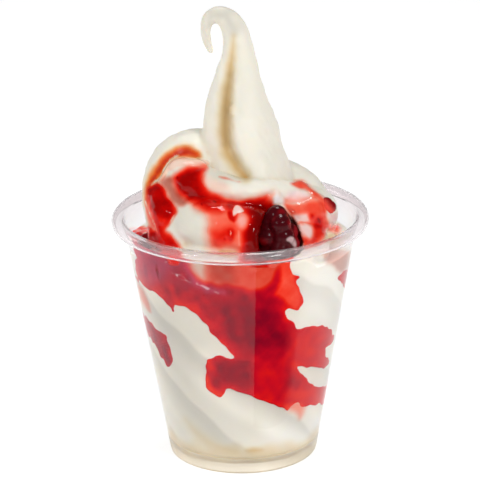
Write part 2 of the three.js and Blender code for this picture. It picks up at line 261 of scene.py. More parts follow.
def camera_turn():
    back = Vector((0, -math.cos(VIEW_ELEVATION), math.sin(VIEW_ELEVATION)))
    return back, (-back).to_track_quat("-Z", "Y") @ Quaternion((0, 0, 1), VIEW_ROLL)


def add_camera():
    back, turn = camera_turn()
    data = bpy.data.cameras.new("camera")
    data.sensor_width = SENSOR_WIDTH
    data.lens = SENSOR_WIDTH * FOCAL_PIXELS / PHOTO_SIZE
    data.shift_x = (PHOTO_SIZE / 2 - PHOTO_CENTRE[0]) / PHOTO_SIZE
    data.shift_y = (PHOTO_CENTRE[1] - PHOTO_SIZE / 2) / PHOTO_SIZE
    data.clip_end = CLIP_END
    camera = bpy.data.objects.new("camera", data)
    camera.rotation_mode = "QUATERNION"
    camera.rotation_quaternion = turn
    camera.location = (VIEW_AIM + back * VIEW_DISTANCE) * MM
    bpy.context.scene.collection.objects.link(camera)
    bpy.context.scene.camera = camera


# Painting in the photograph's view. An outline is a closed list of pixels [across, down], and a stroke is an
# open list of [across, down, radius], also in pixels
PIXEL = 0.352
NEAR = 14
SIGHT = 300
SIGHT_START = 1.0
SEEN_SHARE = (0.1, 0.5)
OUT_OF_SIGHT = 12
WOBBLE = [(0.12, 4, 71)]
EASE = 1.7
LINE_STEPS = 4


def eye_place():
    return np.array(VIEW_AIM + camera_turn()[0] * VIEW_DISTANCE)


def pixels_of(points):
    local = (points - eye_place()) @ np.array(camera_turn()[1].to_matrix())
    return np.array(PHOTO_CENTRE) + local[:, :2] * [1, -1] * FOCAL_PIXELS / -local[:, 2:]


def in_sight(points, edges, tree, rounds):
    """From 0 to 1, softly, where the photograph shows a surface."""
    toward = eye_place() - points
    toward /= np.linalg.norm(toward, axis=1)[:, None]
    starts = points + toward * SIGHT_START
    clear = [tree.ray_cast(Vector(p), Vector(t), SIGHT)[0] is None for p, t in zip(starts, toward)]
    return relaxed(np.array(clear, float), edges, rounds)


def line_distance(places, a, b):
    """Distance of places from the line between two points, and their positions along it from 0 to 1."""
    way = b - a
    along = np.clip((places - a) @ way / (way @ way), 0, 1)
    return np.linalg.norm(places - a - along[:, None] * way, axis=1), along


def stroke_distance(places, stroke):
    """Distance of places from a stroke, negative inside."""
    path = np.array(stroke, float)
    nearest = np.full(len(places), FAR)
    for a, b in zip(path[:-1], path[1:]):
        gap, along = line_distance(places, a[:2], b[:2])
        nearest = np.minimum(nearest, gap - a[2] - along * (b[2] - a[2]))
    return nearest


def rounded_line(corners):
    """A closed smooth line through corners, as points."""
    ring = np.vstack([corners[-1:], corners, corners[:2]])
    line = []
    for a, b, c, d in zip(ring[:-3], ring[1:-2], ring[2:-1], ring[3:]):
        for w in np.arange(LINE_STEPS) / LINE_STEPS:
            bend = w**2 * (2 * a - 5 * b + 4 * c - d) + w**3 * (3 * b - a - 3 * c + d)
            line.append(b + 0.5 * (w * (c - a) + bend))
    return np.array(line)


def outline_distance(places, outline):
    """Distance of places from a smooth closed outline, negative inside."""
    line = rounded_line(np.array(outline, float))
    nearest = np.full(len(places), FAR)
    odd = np.zeros(len(places), bool)
    for a, b in zip(line, np.roll(line, -1, 0)):
        nearest = np.minimum(nearest, line_distance(places, a, b)[0])
        crosses = (a[1] > places[:, 1]) != (b[1] > places[:, 1])
        rise = np.where(b[1] == a[1], 1, b[1] - a[1])
        odd ^= crosses & (places[:, 0] < a[0] + (places[:, 1] - a[1]) * (b[0] - a[0]) / rise)
    return np.where(odd, -nearest, nearest)


class View:
    """The points of a surface as the photograph shows them."""

    def __init__(self, points, shown):
        self.pixels = pixels_of(points)
        hidden = OUT_OF_SIGHT * (1 - smooth_step(shown, *SEEN_SHARE))
        self.offset = rough(points, WOBBLE) - hidden

    def inside(self, outline):
        """How far points lie inside an outline or a stroke, in millimetres, negative outside."""
        corners = np.array(outline, float)[:, :2]
        near = np.all((self.pixels > corners.min(0) - NEAR) & (self.pixels < corners.max(0) + NEAR), 1)
        distance = stroke_distance if len(outline[0]) == 3 else outline_distance
        depth = np.full(len(self.pixels), -PIXEL * NEAR)
        depth[near] = -PIXEL * distance(self.pixels[near], outline)
        return depth + self.offset

    def mask(self, outlines, softness):
        """From 0 outside outlines to 1 inside them."""
        depth = np.max([self.inside(outline) for outline in outlines], 0)
        return smooth_step(depth, -0.5 * softness, 0.5 * softness)

    def painted(self, layers, start=0.0):
        """Values painted over one another. A layer is (value, softness in millimetres, outlines)."""
        total = np.full(len(self.pixels), 1.0) * start
        for value, softness, outlines in layers:
            total = total + (value - total) * self.mask(outlines, softness) ** EASE
        return total


# Ropes of soft serve along knots [x, y, z, radius]


def curve(knots, count):
    """Points, directions and positions from 0 to 1 along a centripetal curve through the knots."""
    knots = np.array(knots, float)
    padded = np.vstack([2 * knots[0] - knots[1], knots, 2 * knots[-1] - knots[-2]])
    place = np.linspace(0, len(knots) - 1, count)
    at = np.minimum(place.astype(int), len(knots) - 2)
    w = (place - at)[:, None]
    a, b, c, d = (padded[at + i] for i in range(4))
    gaps = [np.linalg.norm((q - p)[:, :3], axis=1) for p, q in ((a, b), (b, c), (c, d))]
    ab, bc, cd = (np.sqrt(gap)[:, None] for gap in gaps)
    start = ((b - a) / ab - (c - a) / (ab + bc) + (c - b) / bc) * bc
    end = ((c - b) / bc - (d - b) / (bc + cd) + (d - c) / cd) * bc
    square = 3 * (c - b) - 2 * start - end
    cube = 2 * (b - c) + start + end
    points = b + w * (start + w * (square + w * cube))
    slopes = (start + w * (2 * square + 3 * w * cube))[:, :3]
    return points, slopes / np.linalg.norm(slopes, axis=1)[:, None], place / (len(knots) - 1)


CAP_ANGLES = np.radians(np.linspace(84, 6, 9))
CAP_TIP = 0.1


def no_turn(t):
    return 0 * t


def round_section(angle, t):
    return 1 + 0 * angle * t


def rope(knots, sides=56, steps=72, reference=UPWARD, turn=no_turn, section=round_section):
    points, ahead, t = curve(knots, steps + 1)
    out = np.sin(CAP_ANGLES)
    across = np.cos(CAP_ANGLES)
    lead = points[0, :3] - np.outer(out, ahead[0]) * points[0, 3]
    trail = points[-1, :3] + np.outer(out[::-1], ahead[-1]) * points[-1, 3]
    centres = np.vstack([lead, points[:, :3], trail])
    radii = np.concatenate([across * points[0, 3], points[:, 3], across[::-1] * points[-1, 3]])
    ahead = np.vstack([[ahead[0]] * len(out), ahead, [ahead[-1]] * len(out)])
    t = np.concatenate([0 * out, t, 0 * out + 1])[:, None]
    front = reference - ahead * (ahead @ reference)[:, None]
    front /= np.linalg.norm(front, axis=1)[:, None]
    side = np.cross(ahead, front)
    angle = (2 * np.pi * np.arange(sides) / sides)[None, :]
    reach = radii[:, None] * section(angle, t)
    turned = angle + turn(t)
    rings = centres[:, None] + (reach * np.cos(turned))[..., None] * front[:, None]
    rings = rings + (reach * np.sin(turned))[..., None] * side[:, None]
    first = centres[0] - ahead[0] * radii[0] * CAP_TIP
    last = centres[-1] + ahead[-1] * radii[-1] * CAP_TIP
    return loft(rings, first, last)


# Soft serve that fills the cup, with folds that run down to the right
FILL_TOP = 79
FILL_SIDES = 192
FILL_ROWS = 80
FILL_WALL_START = 2.6
FILL_SHOULDER = 1.4
FILL_PEAK = 28

# Its corner as [from the wall, above the base], and its dome as [radius, above the shoulder]
FILL_CORNER = [[-3.4, 0.1], [-1.1, 0.9]]
FILL_DOME = [[33, 2.6], [29, 9], [24, 18], [17, 26]]

FOLD_STARTS = 6
FOLD_SPACING = 27
FOLD_PHASE = 0.132
FOLD_WANDER = [(0.03, 22, 13)]
FOLD_STEEP = 0.05
FOLD_GENTLE = 0.3
FOLD_RELIEF = 0.22
FOLD_LOW_SPAN = (FLOOR_LEVEL, FLOOR_LEVEL + 12)
FOLD_HIGH_SPAN = (FILL_TOP - 4, FILL_TOP + 3)


def across_folds(points):
    """Position across the folds, in folds."""
    turned = FOLD_STARTS * np.arctan2(points[:, 1], points[:, 0]) / (2 * np.pi)
    return turned + points[:, 2] / FOLD_SPACING + FOLD_PHASE + rough(points, FOLD_WANDER)


def fold_valley(points):
    """From 0 on the folds of soft serve to 1 in the creases between them."""
    z = points[:, 2]
    beyond = across_folds(points) % 1
    steep = np.exp(-((beyond / FOLD_STEEP) ** 2))
    gentle = np.exp(-(((1 - beyond) / FOLD_GENTLE) ** 2))
    on_wall = smooth_step(z, *FOLD_LOW_SPAN) * (1 - smooth_step(z, *FOLD_HIGH_SPAN))
    return np.maximum(steep, gentle) * on_wall


def fill():
    low = INNER_FLOOR + GAP
    corner = [[content_radius(low) + x, low + z] for x, z in FILL_CORNER]
    wall = [[content_radius(z), z] for z in np.linspace(low + FILL_WALL_START, FILL_TOP, FILL_ROWS)]
    shoulder = [content_radius(FILL_TOP) - FILL_SHOULDER, FILL_TOP + FILL_SHOULDER]
    dome = [[radius, FILL_TOP + z] for radius, z in FILL_DOME]
    rings = lathe(np.array([*corner, *wall, shoulder, *dome]), FILL_SIDES)
    return loft(rings, [0, 0, low], [0, 0, FILL_TOP + FILL_PEAK])


OUTER_COIL = [
    [-21, -20, 88, 10], [-22, -13, 95, 11.8], [-21.6, -4, 101, 13.1], [-17.5, 3, 104, 15.3],
    [-4, 12, 99.5, 15.5], [10.7, 9, 94, 14.8], [19.5, 4, 93.5, 11.3], [23, -3, 87, 11],
]
UPPER_COIL = [
    [-18.5, -12, 106.2, 7.5], [-12, -16.5, 105, 7.2], [0, -18.5, 102.4, 6.6], [11, -16.5, 100.8, 6.4],
    [19.9, -9.5, 97.8, 6.4], [26, -1, 92.5, 6],
]
LOWER_COIL = [
    [-20, -19, 94.5, 8.5], [-12, -25, 94, 9.5], [0, -28, 91.5, 10], [12, -27, 88, 10], [22, -21, 85, 9],
]
FRONT_LOBE = [[-21, -26, 80.5, 8], [-8, -31, 82.5, 8.6], [6, -31.5, 81, 8.6], [17, -28, 79, 8]]
RIGHT_LOBE = [[13, -21, 92, 8], [22, -15, 94, 9.4], [26, -4, 91.5, 8.6], [25, 8, 87, 9]]

# The peak, with two lobes and a seam that turns as it rises
PEAK = [
    [2.2, -1.5, 99, 17.6], [1.8, -0.8, 106, 16.4], [0.9, 0, 113.5, 14.8], [0.5, 0, 121, 14.1],
    [-0.3, 0, 129.7, 11.8], [-0.2, 0, 138.5, 9.1], [0.2, 0, 147.2, 6.5], [-0.1, 0, 152.5, 5.2],
    [-1, 0, 157.2, 4.6], [-3.4, 0, 161.2, 3.9], [-6.9, 0, 163, 3], [-10, 0, 161.4, 2.4],
    [-11.1, 0, 157.8, 1.85], [-10.8, 0, 153.9, 1.65], [-9.4, 0, 149.9, 1.1],
]
PEAK_LOBES = 2
SEAM_DEPTH = 0.3
SEAM_LOW_ANGLE = 6
SEAM_TURN = -28
SEAM_TURNED = 0.24
SEAM_FADE = (0.4, 0.5)
STEEP_BANK = 0.06
GENTLE_BANK = 0.26


def seam_turn(t):
    return np.radians(SEAM_LOW_ANGLE + SEAM_TURN * smooth_step(t, 0, SEAM_TURNED))


def peak_section(angle, t):
    along = (angle * PEAK_LOBES / (2 * np.pi)) % 1
    steep = np.exp(-((along / STEEP_BANK) ** 2))
    gentle = np.exp(-(((1 - along) / GENTLE_BANK) ** 2))
    fade = 1 - smooth_step(t, *SEAM_FADE)
    return 1 - SEAM_DEPTH * np.maximum(steep, gentle) * fade


def peak():
    return rope(PEAK, sides=96, steps=150, reference=FORWARD, turn=seam_turn, section=peak_section)


# The skin of the soft serve, and how it lies against the cup
ICE_VOXEL = 0.67
SMOOTH_ROUNDS = 6
SMOOTHING = 0.5
TIP_FIRMNESS = 0.35
TIP_SPAN = (140, 152)
WALL_REACH = 0.06
PRESSED_ROOM = (1.0, 2.4)
BASE_SPAN = (INNER_FLOOR + 0.5, INNER_FLOOR + 1.5)
UNEVEN = [(0.1, 7, 11), (0.04, 2.6, 12)]
UNEVEN_ROOM = (0.3, 1.5)
EVEN_TIP_SPAN = (146, 154)


def cavity_radius(z):
    """The inside of the cup, with the round corner at its floor."""
    corner = np.array([*floor_corner(), [inner_radius(CORNER_TOP), CORNER_TOP]])
    return np.where(z < CORNER_TOP, np.interp(z, corner[:, 1], corner[:, 0]), inner_radius(z))


def pressed_to_wall(points):
    """Widens what nearly touches the wall to reach just into it, and lowers the base into the floor."""
    z = points[:, 2] - (1 - smooth_step(points[:, 2], *BASE_SPAN)) * (GAP + WALL_REACH)
    radius = np.hypot(points[:, 0], points[:, 1])
    room = cavity_radius(z) - radius
    share = (1 - smooth_step(room, *PRESSED_ROOM)) * (z < CUP_HEIGHT - LIP_RADIUS)
    reach = WALL_REACH + FOLD_RELIEF * (1 - fold_valley(points))
    scale = (radius + (room + reach) * share) / np.maximum(radius, TINY)
    return np.stack([points[:, 0] * scale, points[:, 1] * scale, z], 1)


def ice_surface():
    coils = [rope(knots) for knots in (OUTER_COIL, UPPER_COIL, LOWER_COIL, FRONT_LOBE, RIGHT_LOBE)]
    points, faces = fused([fill(), *coils, peak()], ICE_VOXEL)
    faces = np.array(faces)
    edges = edges_of(faces)
    radius = np.hypot(points[:, 0], points[:, 1])
    inside = np.minimum(radius, content_radius(points[:, 2]))
    in_cup = points[:, 2] < CUP_HEIGHT
    points[:, :2] *= np.where(in_cup, inside / np.maximum(radius, TINY), 1)[:, None]
    softness = SMOOTHING - TIP_FIRMNESS * smooth_step(points[:, 2], *TIP_SPAN)
    points = relaxed(points, edges, SMOOTH_ROUNDS, softness)
    points = pressed_to_wall(points)
    z = points[:, 2]
    free = smooth_step(inner_radius(z) - np.hypot(points[:, 0], points[:, 1]), *UNEVEN_ROOM)
    free = np.where(z > CUP_HEIGHT, 1, free) * (1 - smooth_step(z, *EVEN_TIP_SPAN))
    points = points + normals_of(points, faces) * (rough(points, UNEVEN) * free)[:, None]
    return points, faces, edges


# Colour of sauce over soft serve: what is left of the cream's colour after an optical depth of sauce
CREAM = np.array([0.88, 0.845, 0.74])
TAN = np.array([0.22, 0.5, 1.05])
AMBER = np.array([0, 0.25, 1.0])
RED_LOSS = 0.0135
BLUE_LOSS = 1.22
THIN_GLOW = 0.12
THIN_SPAN = (0, 1.5)


def stained(depth, shade=0.0, amber=0.0):
    """Linear colours for arrays of sauce depth, of warm shade in folds, and of thin brown sauce."""
    depth = np.asarray(depth, float)
    red = np.exp(-RED_LOSS * depth**2) * (1 + THIN_GLOW * smooth_step(depth, *THIN_SPAN))
    tint = np.stack([red, np.exp(-depth), np.exp(-BLUE_LOSS * depth)], -1)
    warm = np.asarray(shade)[..., None] * TAN + np.asarray(amber)[..., None] * AMBER
    return CREAM * tint * np.exp(-warm)


def surface_tree(points, faces):
    return BVHTree.FromPolygons([Vector(p) for p in points], faces.tolist())


# Poured sauce at the left
CRESCENT_START = [[193, 148], [187, 145.5], [179, 147.5], [170.5, 152.5], [162.5, 158.5]]
CRESCENT_LEFT = [[156, 166], [151.5, 173.5], [148, 181.5], [145.5, 192], [146, 204], [152, 199], [153, 187]]
CRESCENT_END = [
    [157.5, 180], [162, 174.5], [165.5, 168], [170, 161.5], [176, 158], [184.5, 157], [193, 158],
    [199.5, 157.5], [197, 152.5],
]
LEFT_CRESCENT = [*CRESCENT_START, *CRESCENT_LEFT, *CRESCENT_END]
CRESCENT_CORE = [[195, 153.5, 2.5], [188, 152, 4], [178, 153.5, 4.5], [170, 158, 4], [164, 163, 3.5]]
CRESCENT_LOW = [[161, 167, 2.5], [157.5, 172, 2.5], [154, 178, 2.5], [150.5, 185, 2.5], [149, 192, 2]]
LEFT_STREAM = [
    [147.5, 190], [150.5, 186.5], [156, 184], [161, 185], [164.5, 190], [168, 197], [172, 203],
    [175, 208], [175, 213], [172, 218], [168, 224], [163, 228], [158, 228], [153.5, 219], [150.5, 209],
    [148, 200],
]
LEFT_BRANCH = [
    [157, 226], [161, 226], [166, 231], [173, 238], [179, 246], [182, 256], [180, 266], [168, 266],
    [163, 254], [159, 244], [156, 234],
]
LEFT_PINK = [[145.5, 203], [148, 205], [152, 214], [156, 224], [157, 229], [151, 228], [148, 220], [146, 211]]
LEFT_POOL = [
    [130, 229], [140, 227.5], [150, 228], [157, 232], [161, 240], [164, 252], [156, 250], [148, 246],
    [140, 242], [131, 237],
]
POOL_PALE = [[131, 230], [140, 228.5], [150, 229], [154, 232], [146, 234], [135, 234]]
# A painted highlight on the pool
POOL_GLINT = [[142, 234], [147, 232.8], [151, 234.5], [149, 236.5], [144, 236.5]]
STREAM_LOW = [[157, 217], [163, 217], [168, 218], [168, 226], [160, 230]]
# Painted highlights: pale lines and a pale spot where the stream shines
STREAM_HIGHLIGHT_LINE = [[145.5, 202, 0.4], [148, 209, 0.6], [152, 219, 0.6], [156, 228, 0.6], [158, 233, 0.4]]
STREAM_GLINT = [[150.5, 184.5], [154, 181], [160, 177], [160.5, 180], [156, 183], [152, 186]]
STREAM_END_HIGHLIGHT = [[170.5, 222, 0.6], [172.5, 218.5, 0.8], [174, 215.5, 0.5]]

# Poured sauce on the front lobe
# A painted highlight: a pale line along the lobe's rim
RIM_HIGHLIGHT_LINE = [[160, 177.5, 0.8], [163.3, 171, 0.7], [166.7, 164.5, 0.7], [172, 158.5, 0.7], [178, 155.5, 0.5]]
LOBE_RIM = [
    [158, 181], [161, 174.5], [164.5, 168.5], [169, 161.5], [175.5, 157.5], [184.5, 156.5], [193, 157.5],
    [201, 158.5], [209, 163], [206, 166], [198, 165], [187, 165], [176, 168.5], [169, 172.5], [165, 178],
    [163, 184],
]
LOBE_PATCH = [
    [174, 176.5], [179, 172.5], [186, 168.5], [195, 166.5], [204, 166.5], [206, 169], [203, 174],
    [202, 180], [205, 187], [211, 193.5], [222, 198], [224, 213], [212, 213], [203, 209], [193, 203.5],
    [184, 198.5], [178, 193], [175, 186], [173.5, 180],
]
LOBE_DEEP = [
    [183, 175], [196, 171], [199, 179], [202, 189], [209, 197], [204, 203], [193, 199], [183, 191],
    [178.5, 182],
]
# A painted reflection: a grey sheen over the sauce, painted as thin sauce and darkened
LOBE_GREY_SHEEN = [
    [160, 181], [165, 177], [170, 176], [173, 179], [175, 186], [180, 194], [187, 202], [184, 207],
    [177, 206], [170, 200], [166, 191], [162, 186],
]
LOBE_SHADE = [[176, 206], [187, 208], [188, 216], [184, 228], [176, 232], [171, 224]]

# Poured sauce in the middle
WHITE_BAND = [
    [207, 172], [216, 178], [230, 181], [246, 181], [262, 183], [274, 188], [268, 192], [257, 195],
    [245, 197], [231, 196], [218, 193], [209, 188], [204, 180],
]
BAND_EDGE = [[219, 176.8, 0.4], [226, 178.3, 0.9], [233, 180.3, 0.7], [240, 181.5, 0.3]]
CENTRE = [
    [194, 206], [205, 199], [210, 193], [218, 196], [231, 199], [245, 200], [257, 198], [268, 194],
    [276, 196], [272, 206], [266, 216], [262, 230], [262, 244], [266, 256], [270, 268], [246, 268],
    [239, 256], [230, 250], [218, 250], [210, 248], [207.5, 240], [206.5, 231], [207.5, 222], [204, 213],
]
BAND_LINE = [
    [207, 195], [217, 198], [231, 201], [245, 202], [258, 199], [267, 196], [265, 204], [250, 207],
    [236, 206], [222, 208], [212, 207], [205, 203],
]
CENTRE_RED = [[213, 232], [222, 229], [233, 229], [235, 236], [233, 243], [224, 246], [214, 244]]
CENTRE_DEEP = [
    [[226, 204], [240, 203], [256, 203], [257, 217], [249, 216], [240, 213], [228, 212]],
    [[228, 230.5], [233.5, 231], [234, 240], [229, 240.5]],
]
LUMP_RING = [[228, 213], [234, 214], [239, 219], [235, 223], [229, 220]]
BERRY_BED = [
    [246, 202], [258, 200.5], [268, 203], [276, 208], [276, 262], [245, 264], [243, 250], [243.5, 238],
    [245, 231], [247.5, 222], [246, 211],
]
BERRY_SHADOW = [[253, 206], [264, 204], [268, 215], [266, 262], [249, 264], [248, 240], [250, 223]]
LUMP = [
    [234, 214], [235, 209.5], [237, 207], [240.5, 209.5], [242.5, 212.5], [239.5, 214], [236.5, 214],
    [235, 217],
]
SOFT_LUMP = [[236, 219], [241.5, 215], [246, 217], [247.5, 222], [244.5, 228.5], [239, 228]]
DRIPS = [[[238.5, 231, 1.0], [239.5, 244, 1.2]]]
# A painted highlight beside the drips
DRIP_GLINT = [[230.5, 231, 0.7], [231.5, 238, 0.8]]
# A raised cap of cream above the berry, painted bluish white as a highlight
CREAM_CAP_AND_HIGHLIGHT = [[272, 203], [273, 196], [277, 192.5], [281, 196], [284, 203], [279, 206], [274, 205.5]]

# Poured sauce at the right
STREAK = [
    [292, 184], [297, 181], [303, 181.5], [308, 184.5], [314, 190], [321, 196], [326, 201], [320, 203],
    [312, 197], [306, 190], [298, 187.5],
]
RIGHT_SAUCE = [
    [284, 203], [292, 203.5], [303, 203], [309, 200], [313, 195], [318, 196], [323, 199], [326, 204],
    [327, 212], [328, 219], [331, 223.5], [338, 224], [340.5, 229], [338, 233], [331, 232], [327, 232],
    [324, 237], [319, 243.5], [309, 246], [304, 247], [298, 236], [292, 222], [287, 212],
]
RIGHT_PALE = [
    [[291, 214.5], [300, 213], [308, 214.5], [309.5, 222], [301, 224.3], [295, 224]],
    [[297, 225], [305, 224], [312, 228], [312.5, 236], [308, 241], [301, 235]],
    [[328.5, 214], [337, 212], [339, 223], [332, 222.5], [328.5, 219]],
]
RIGHT_BLUSH = [[284, 197], [290, 191], [300, 189], [309, 193], [310, 200], [300, 203], [288, 203]]
BLUSH_LOW = [
    [284, 199], [292, 197.5], [302, 197], [311, 196.5], [319, 197.5], [319, 203], [302, 203.5],
    [286, 204],
]
RIGHT_RED = [
    [313, 217], [319, 216], [323, 222], [324, 230], [321, 238], [314, 243], [306, 245], [303.5, 239],
    [309, 240], [313, 234], [312, 226],
]
RIGHT_DEEP = [
    [[313.5, 221], [319, 217.5], [321, 223], [319, 228], [314.5, 229]],
    [[308.5, 215], [311, 215], [311.5, 218], [309, 218.5]],
]
STREAK_HEAD = [[294, 184], [302, 182], [306, 187], [299, 188]]
RIGHT_TAN = [[325, 234], [335, 233], [336, 241], [330, 243], [325, 243]]

# Small dark bits of fruit in the sauce
PULP = [
    [[177.8, 177.3, 0.7], [178.3, 178.6, 0.9]],
    [[196, 187.6, 0.8], [197.6, 188.4, 0.7]],
    [[190, 195.8, 0.9], [192.4, 195.2, 0.7]],
    [[201.6, 205, 0.8], [202.6, 206.4, 0.6]],
    [[214, 203.4, 0.6], [215.4, 204, 0.7]],
    [[224.6, 238, 0.6], [225.6, 239.4, 0.5]],
    [[160.4, 201, 0.6], [161.2, 203, 0.7]],
    [[317, 219, 0.9], [318.4, 221.6, 1.0]],
]

# Sauce depths, each layer over the one before. The pale layers on glints and highlight lines are painted
# highlights, and the one on the lobe's grey sheen is a painted reflection
LEFT_BODIES = [LEFT_STREAM, LEFT_BRANCH, LEFT_POOL]
LEFT_LAYERS = [
    (2.0, 1.8, [LEFT_PINK]),
    (8.2, 3.4, [LEFT_STREAM]),
    (4.2, 3.0, [STREAM_LOW]),
    (5.8, 3.4, [LEFT_BRANCH]),
    (7.6, 2.0, [LEFT_POOL]),
    (1.9, 2.0, [POOL_PALE]),
    (0.9, 1.0, [POOL_GLINT]),
    (0.2, 0.6, [STREAM_HIGHLIGHT_LINE, STREAM_END_HIGHLIGHT]),
    (0.05, 0.8, [STREAM_GLINT]),
    (10, 0.9, PULP),
]
TOP_BODIES = [LOBE_RIM, LOBE_PATCH, CENTRE, STREAK, RIGHT_SAUCE]
TOP_LAYERS = [
    (0.3, 1.4, [LOBE_RIM]),
    (1.0, 2.6, [LOBE_GREY_SHEEN]),
    (0.36, 5.0, [RIGHT_BLUSH]),
    (1.9, 8.0, [CENTRE]),
    (2.3, 2.8, [STREAK, RIGHT_SAUCE]),
    (1.1, 3.0, [BLUSH_LOW]),
    (5.8, 4.6, [LOBE_PATCH]),
    (9.0, 4.6, [LOBE_DEEP]),
    (5.2, 4.0, [BAND_LINE]),
    (4.0, 5.0, [CENTRE_RED]),
    (6.2, 2.6, CENTRE_DEEP),
    (6.4, 1.6, [LUMP_RING]),
    (9.0, 5.0, [BERRY_BED]),
    (0.9, 2.6, [SOFT_LUMP]),
    (0.35, 0.8, [LUMP]),
    (1.3, 1.0, DRIPS),
    (0.3, 0.5, [DRIP_GLINT]),
    (0.1, 1.8, [CREAM_CAP_AND_HIGHLIGHT]),
    (0.4, 3.0, RIGHT_PALE),
    (3.8, 3.2, [RIGHT_RED]),
    (6.4, 2.4, RIGHT_DEEP),
    (2.6, 2.4, [STREAK_HEAD]),
    (0.05, 0.6, [RIM_HIGHLIGHT_LINE]),
    (10, 0.9, PULP),
]

# Stains on the soft serve where no sauce lies over it, warm shade, thin brown sauce, and painted light and
# shade that make places lighter or darker
RIGHT_STAIN = [[323.6, 252], [348, 250], [349, 262], [346, 270], [340, 273], [332, 266], [325, 262]]
LEFT_EDGE_STAIN = [[138, 283], [144.5, 289], [149, 300], [153, 312], [148, 310], [141, 298]]
LOW_DRIP = [[282, 403], [305, 400], [304, 411], [299.5, 419], [295, 413], [289, 411]]
LOBE_FOOT = [[219, 250.5], [230, 250], [237, 251.5], [237, 255.5], [228, 256], [219, 254]]
BAND_END = [[203, 174], [214, 178], [228, 183], [230, 191], [214, 191], [204, 184]]
LOW_CREASE = [[245, 450], [254, 447.5], [263, 449.5], [258, 452.5], [250, 453]]
LOW_FOLDS = [[184, 417], [200, 429], [222, 443], [240, 449], [236, 454], [214, 450], [195, 439]]
STAIN_LAYERS = [
    (1.6, 5.0, [LEFT_CRESCENT]),
    (1.9, 4.0, [CRESCENT_CORE, CRESCENT_LOW]),
    (0.25, 4.0, [BAND_END]),
    (1.2, 1.2, [BAND_EDGE]),
    (0.5, 3.0, [RIGHT_STAIN]),
    (0.8, 1.6, [LEFT_EDGE_STAIN]),
    (0.9, 4.0, [LOW_DRIP]),
]
SEAM = [
    [246, 178, 4], [236, 167, 5.5], [227, 152, 6], [225, 135, 6.5], [225, 120, 6.5], [225.5, 108, 6.5],
    [226.5, 95, 6], [229.5, 75, 4.5], [231.8, 58, 3.2], [233, 46, 1.8], [234, 36, 0.4],
]
SHADE_LAYERS = [
    (1.4, 5.6, [SEAM]),
    (1.2, 5.0, [LEFT_CRESCENT]),
    (0.9, 1.6, [LOBE_FOOT]),
    (0.6, 2.0, [RIGHT_TAN]),
    (0.8, 3.0, [LOW_CREASE]),
    (0.3, 5.0, [LOW_FOLDS]),
    (0, 0.6, [STREAM_HIGHLIGHT_LINE, STREAM_GLINT, RIM_HIGHLIGHT_LINE]),
]
WALL_RIGHT = [
    [300, 270], [345, 262], [338, 330], [322, 440], [275, 446], [262, 420], [318, 408], [316, 330],
    [300, 320],
]
WALL_LOW = [[170, 385], [250, 410], [262, 440], [200, 445], [172, 420]]
# The first layer makes the right of the wall less yellow, with the painted light there
AMBER_LAYERS = [
    (-0.06, 12.0, [WALL_RIGHT]),
    (-0.2, 3.0, [*RIGHT_PALE, RIGHT_BLUSH, CREAM_CAP_AND_HIGHLIGHT, LUMP, SOFT_LUMP]),
    (2.3, 5.0, [LEFT_CRESCENT]),
    (3.3, 4.0, [CRESCENT_CORE, CRESCENT_LOW]),
    (0, 1.4, [LOBE_RIM]),
    (0, 0.6, [STREAM_HIGHLIGHT_LINE, STREAM_GLINT, RIM_HIGHLIGHT_LINE]),
]
SEAM_SHADOW = [[226, 142, 5], [225, 125, 6], [225.5, 108, 6], [227, 95, 5], [230, 75, 3.5]]
WHITE_LOBE = [[180, 206], [192, 208], [204, 214], [206, 230], [206, 246], [190, 248], [178, 236], [174, 222]]
UPPER_FACE = [[240, 112, 5], [241, 85, 6], [240, 60, 5], [238, 45, 5]]
HOOK = [[234, 30, 9], [226, 15, 9], [212, 16, 8], [205, 30, 6], [208, 48, 4]]
WALL_LEFT = [[150, 300], [206, 306], [232, 348], [204, 356], [202, 400], [180, 396], [160, 350]]
# Painted light and shade: the left and low wall darker and its right lighter, shade in the seam, on the upper
# face, the hook and the white lobe, beside the berry, on the lobe's grey sheen and shaded edge, in the
# crescent, and darker on the right stain
LIGHT_AND_SHADE_LAYERS = [
    (0.88, 12.0, [WALL_LEFT]),
    (0.92, 12.0, [WALL_LOW]),
    (1.05, 12.0, [WALL_RIGHT]),
    (0.72, 6.0, [SEAM_SHADOW]),
    (0.9, 8.0, [UPPER_FACE]),
    (0.74, 7.0, [HOOK]),
    (0.88, 7.0, [WHITE_LOBE]),
    (0.5, 6.0, [BERRY_SHADOW]),
    (0.55, 3.0, [LOBE_GREY_SHEEN]),
    (0.84, 5.0, [LOBE_SHADE]),
    (0.8, 4.0, [CRESCENT_CORE]),
    (0.6, 4.0, [CRESCENT_LOW]),
    (0.7, 3.0, [RIGHT_STAIN]),
]

# Relief of the swirl: heights along the surface's direction, softness and outlines
GROOVE_LEFT = [[155, 165.5], [150, 173], [148, 180], [150, 183], [153, 183]]
CRESCENT_GROOVE = [*CRESCENT_START, *GROOVE_LEFT, *CRESCENT_END]
SEAM_NUB = [[232, 107, 2], [233, 113, 2.4]]
RELIEF = [
    (-2.0, 2.6, [CRESCENT_GROOVE]),
    (1.0, 1.2, [LOBE_RIM]),
    (0.7, 2.8, [WHITE_BAND]),
    (-0.4, 3.0, [BAND_LINE]),
    (0.9, 0.9, [LUMP]),
    (0.7, 1.8, [SOFT_LUMP]),
    (1.4, 1.8, [CREAM_CAP_AND_HIGHLIGHT]),
    (0.4, 3.0, RIGHT_PALE),
    (0.8, 1.2, [SEAM_NUB]),
]
WRAP_ROUNDS = 40


def in_relief(points, faces, edges):
    view = View(points, in_sight(points, edges, surface_tree(points, faces), WRAP_ROUNDS))
    height = np.zeros(len(points))
    for rise, softness, outlines in RELIEF:
        height += rise * view.mask(outlines, softness)
    return points + normals_of(points, faces) * height[:, None]


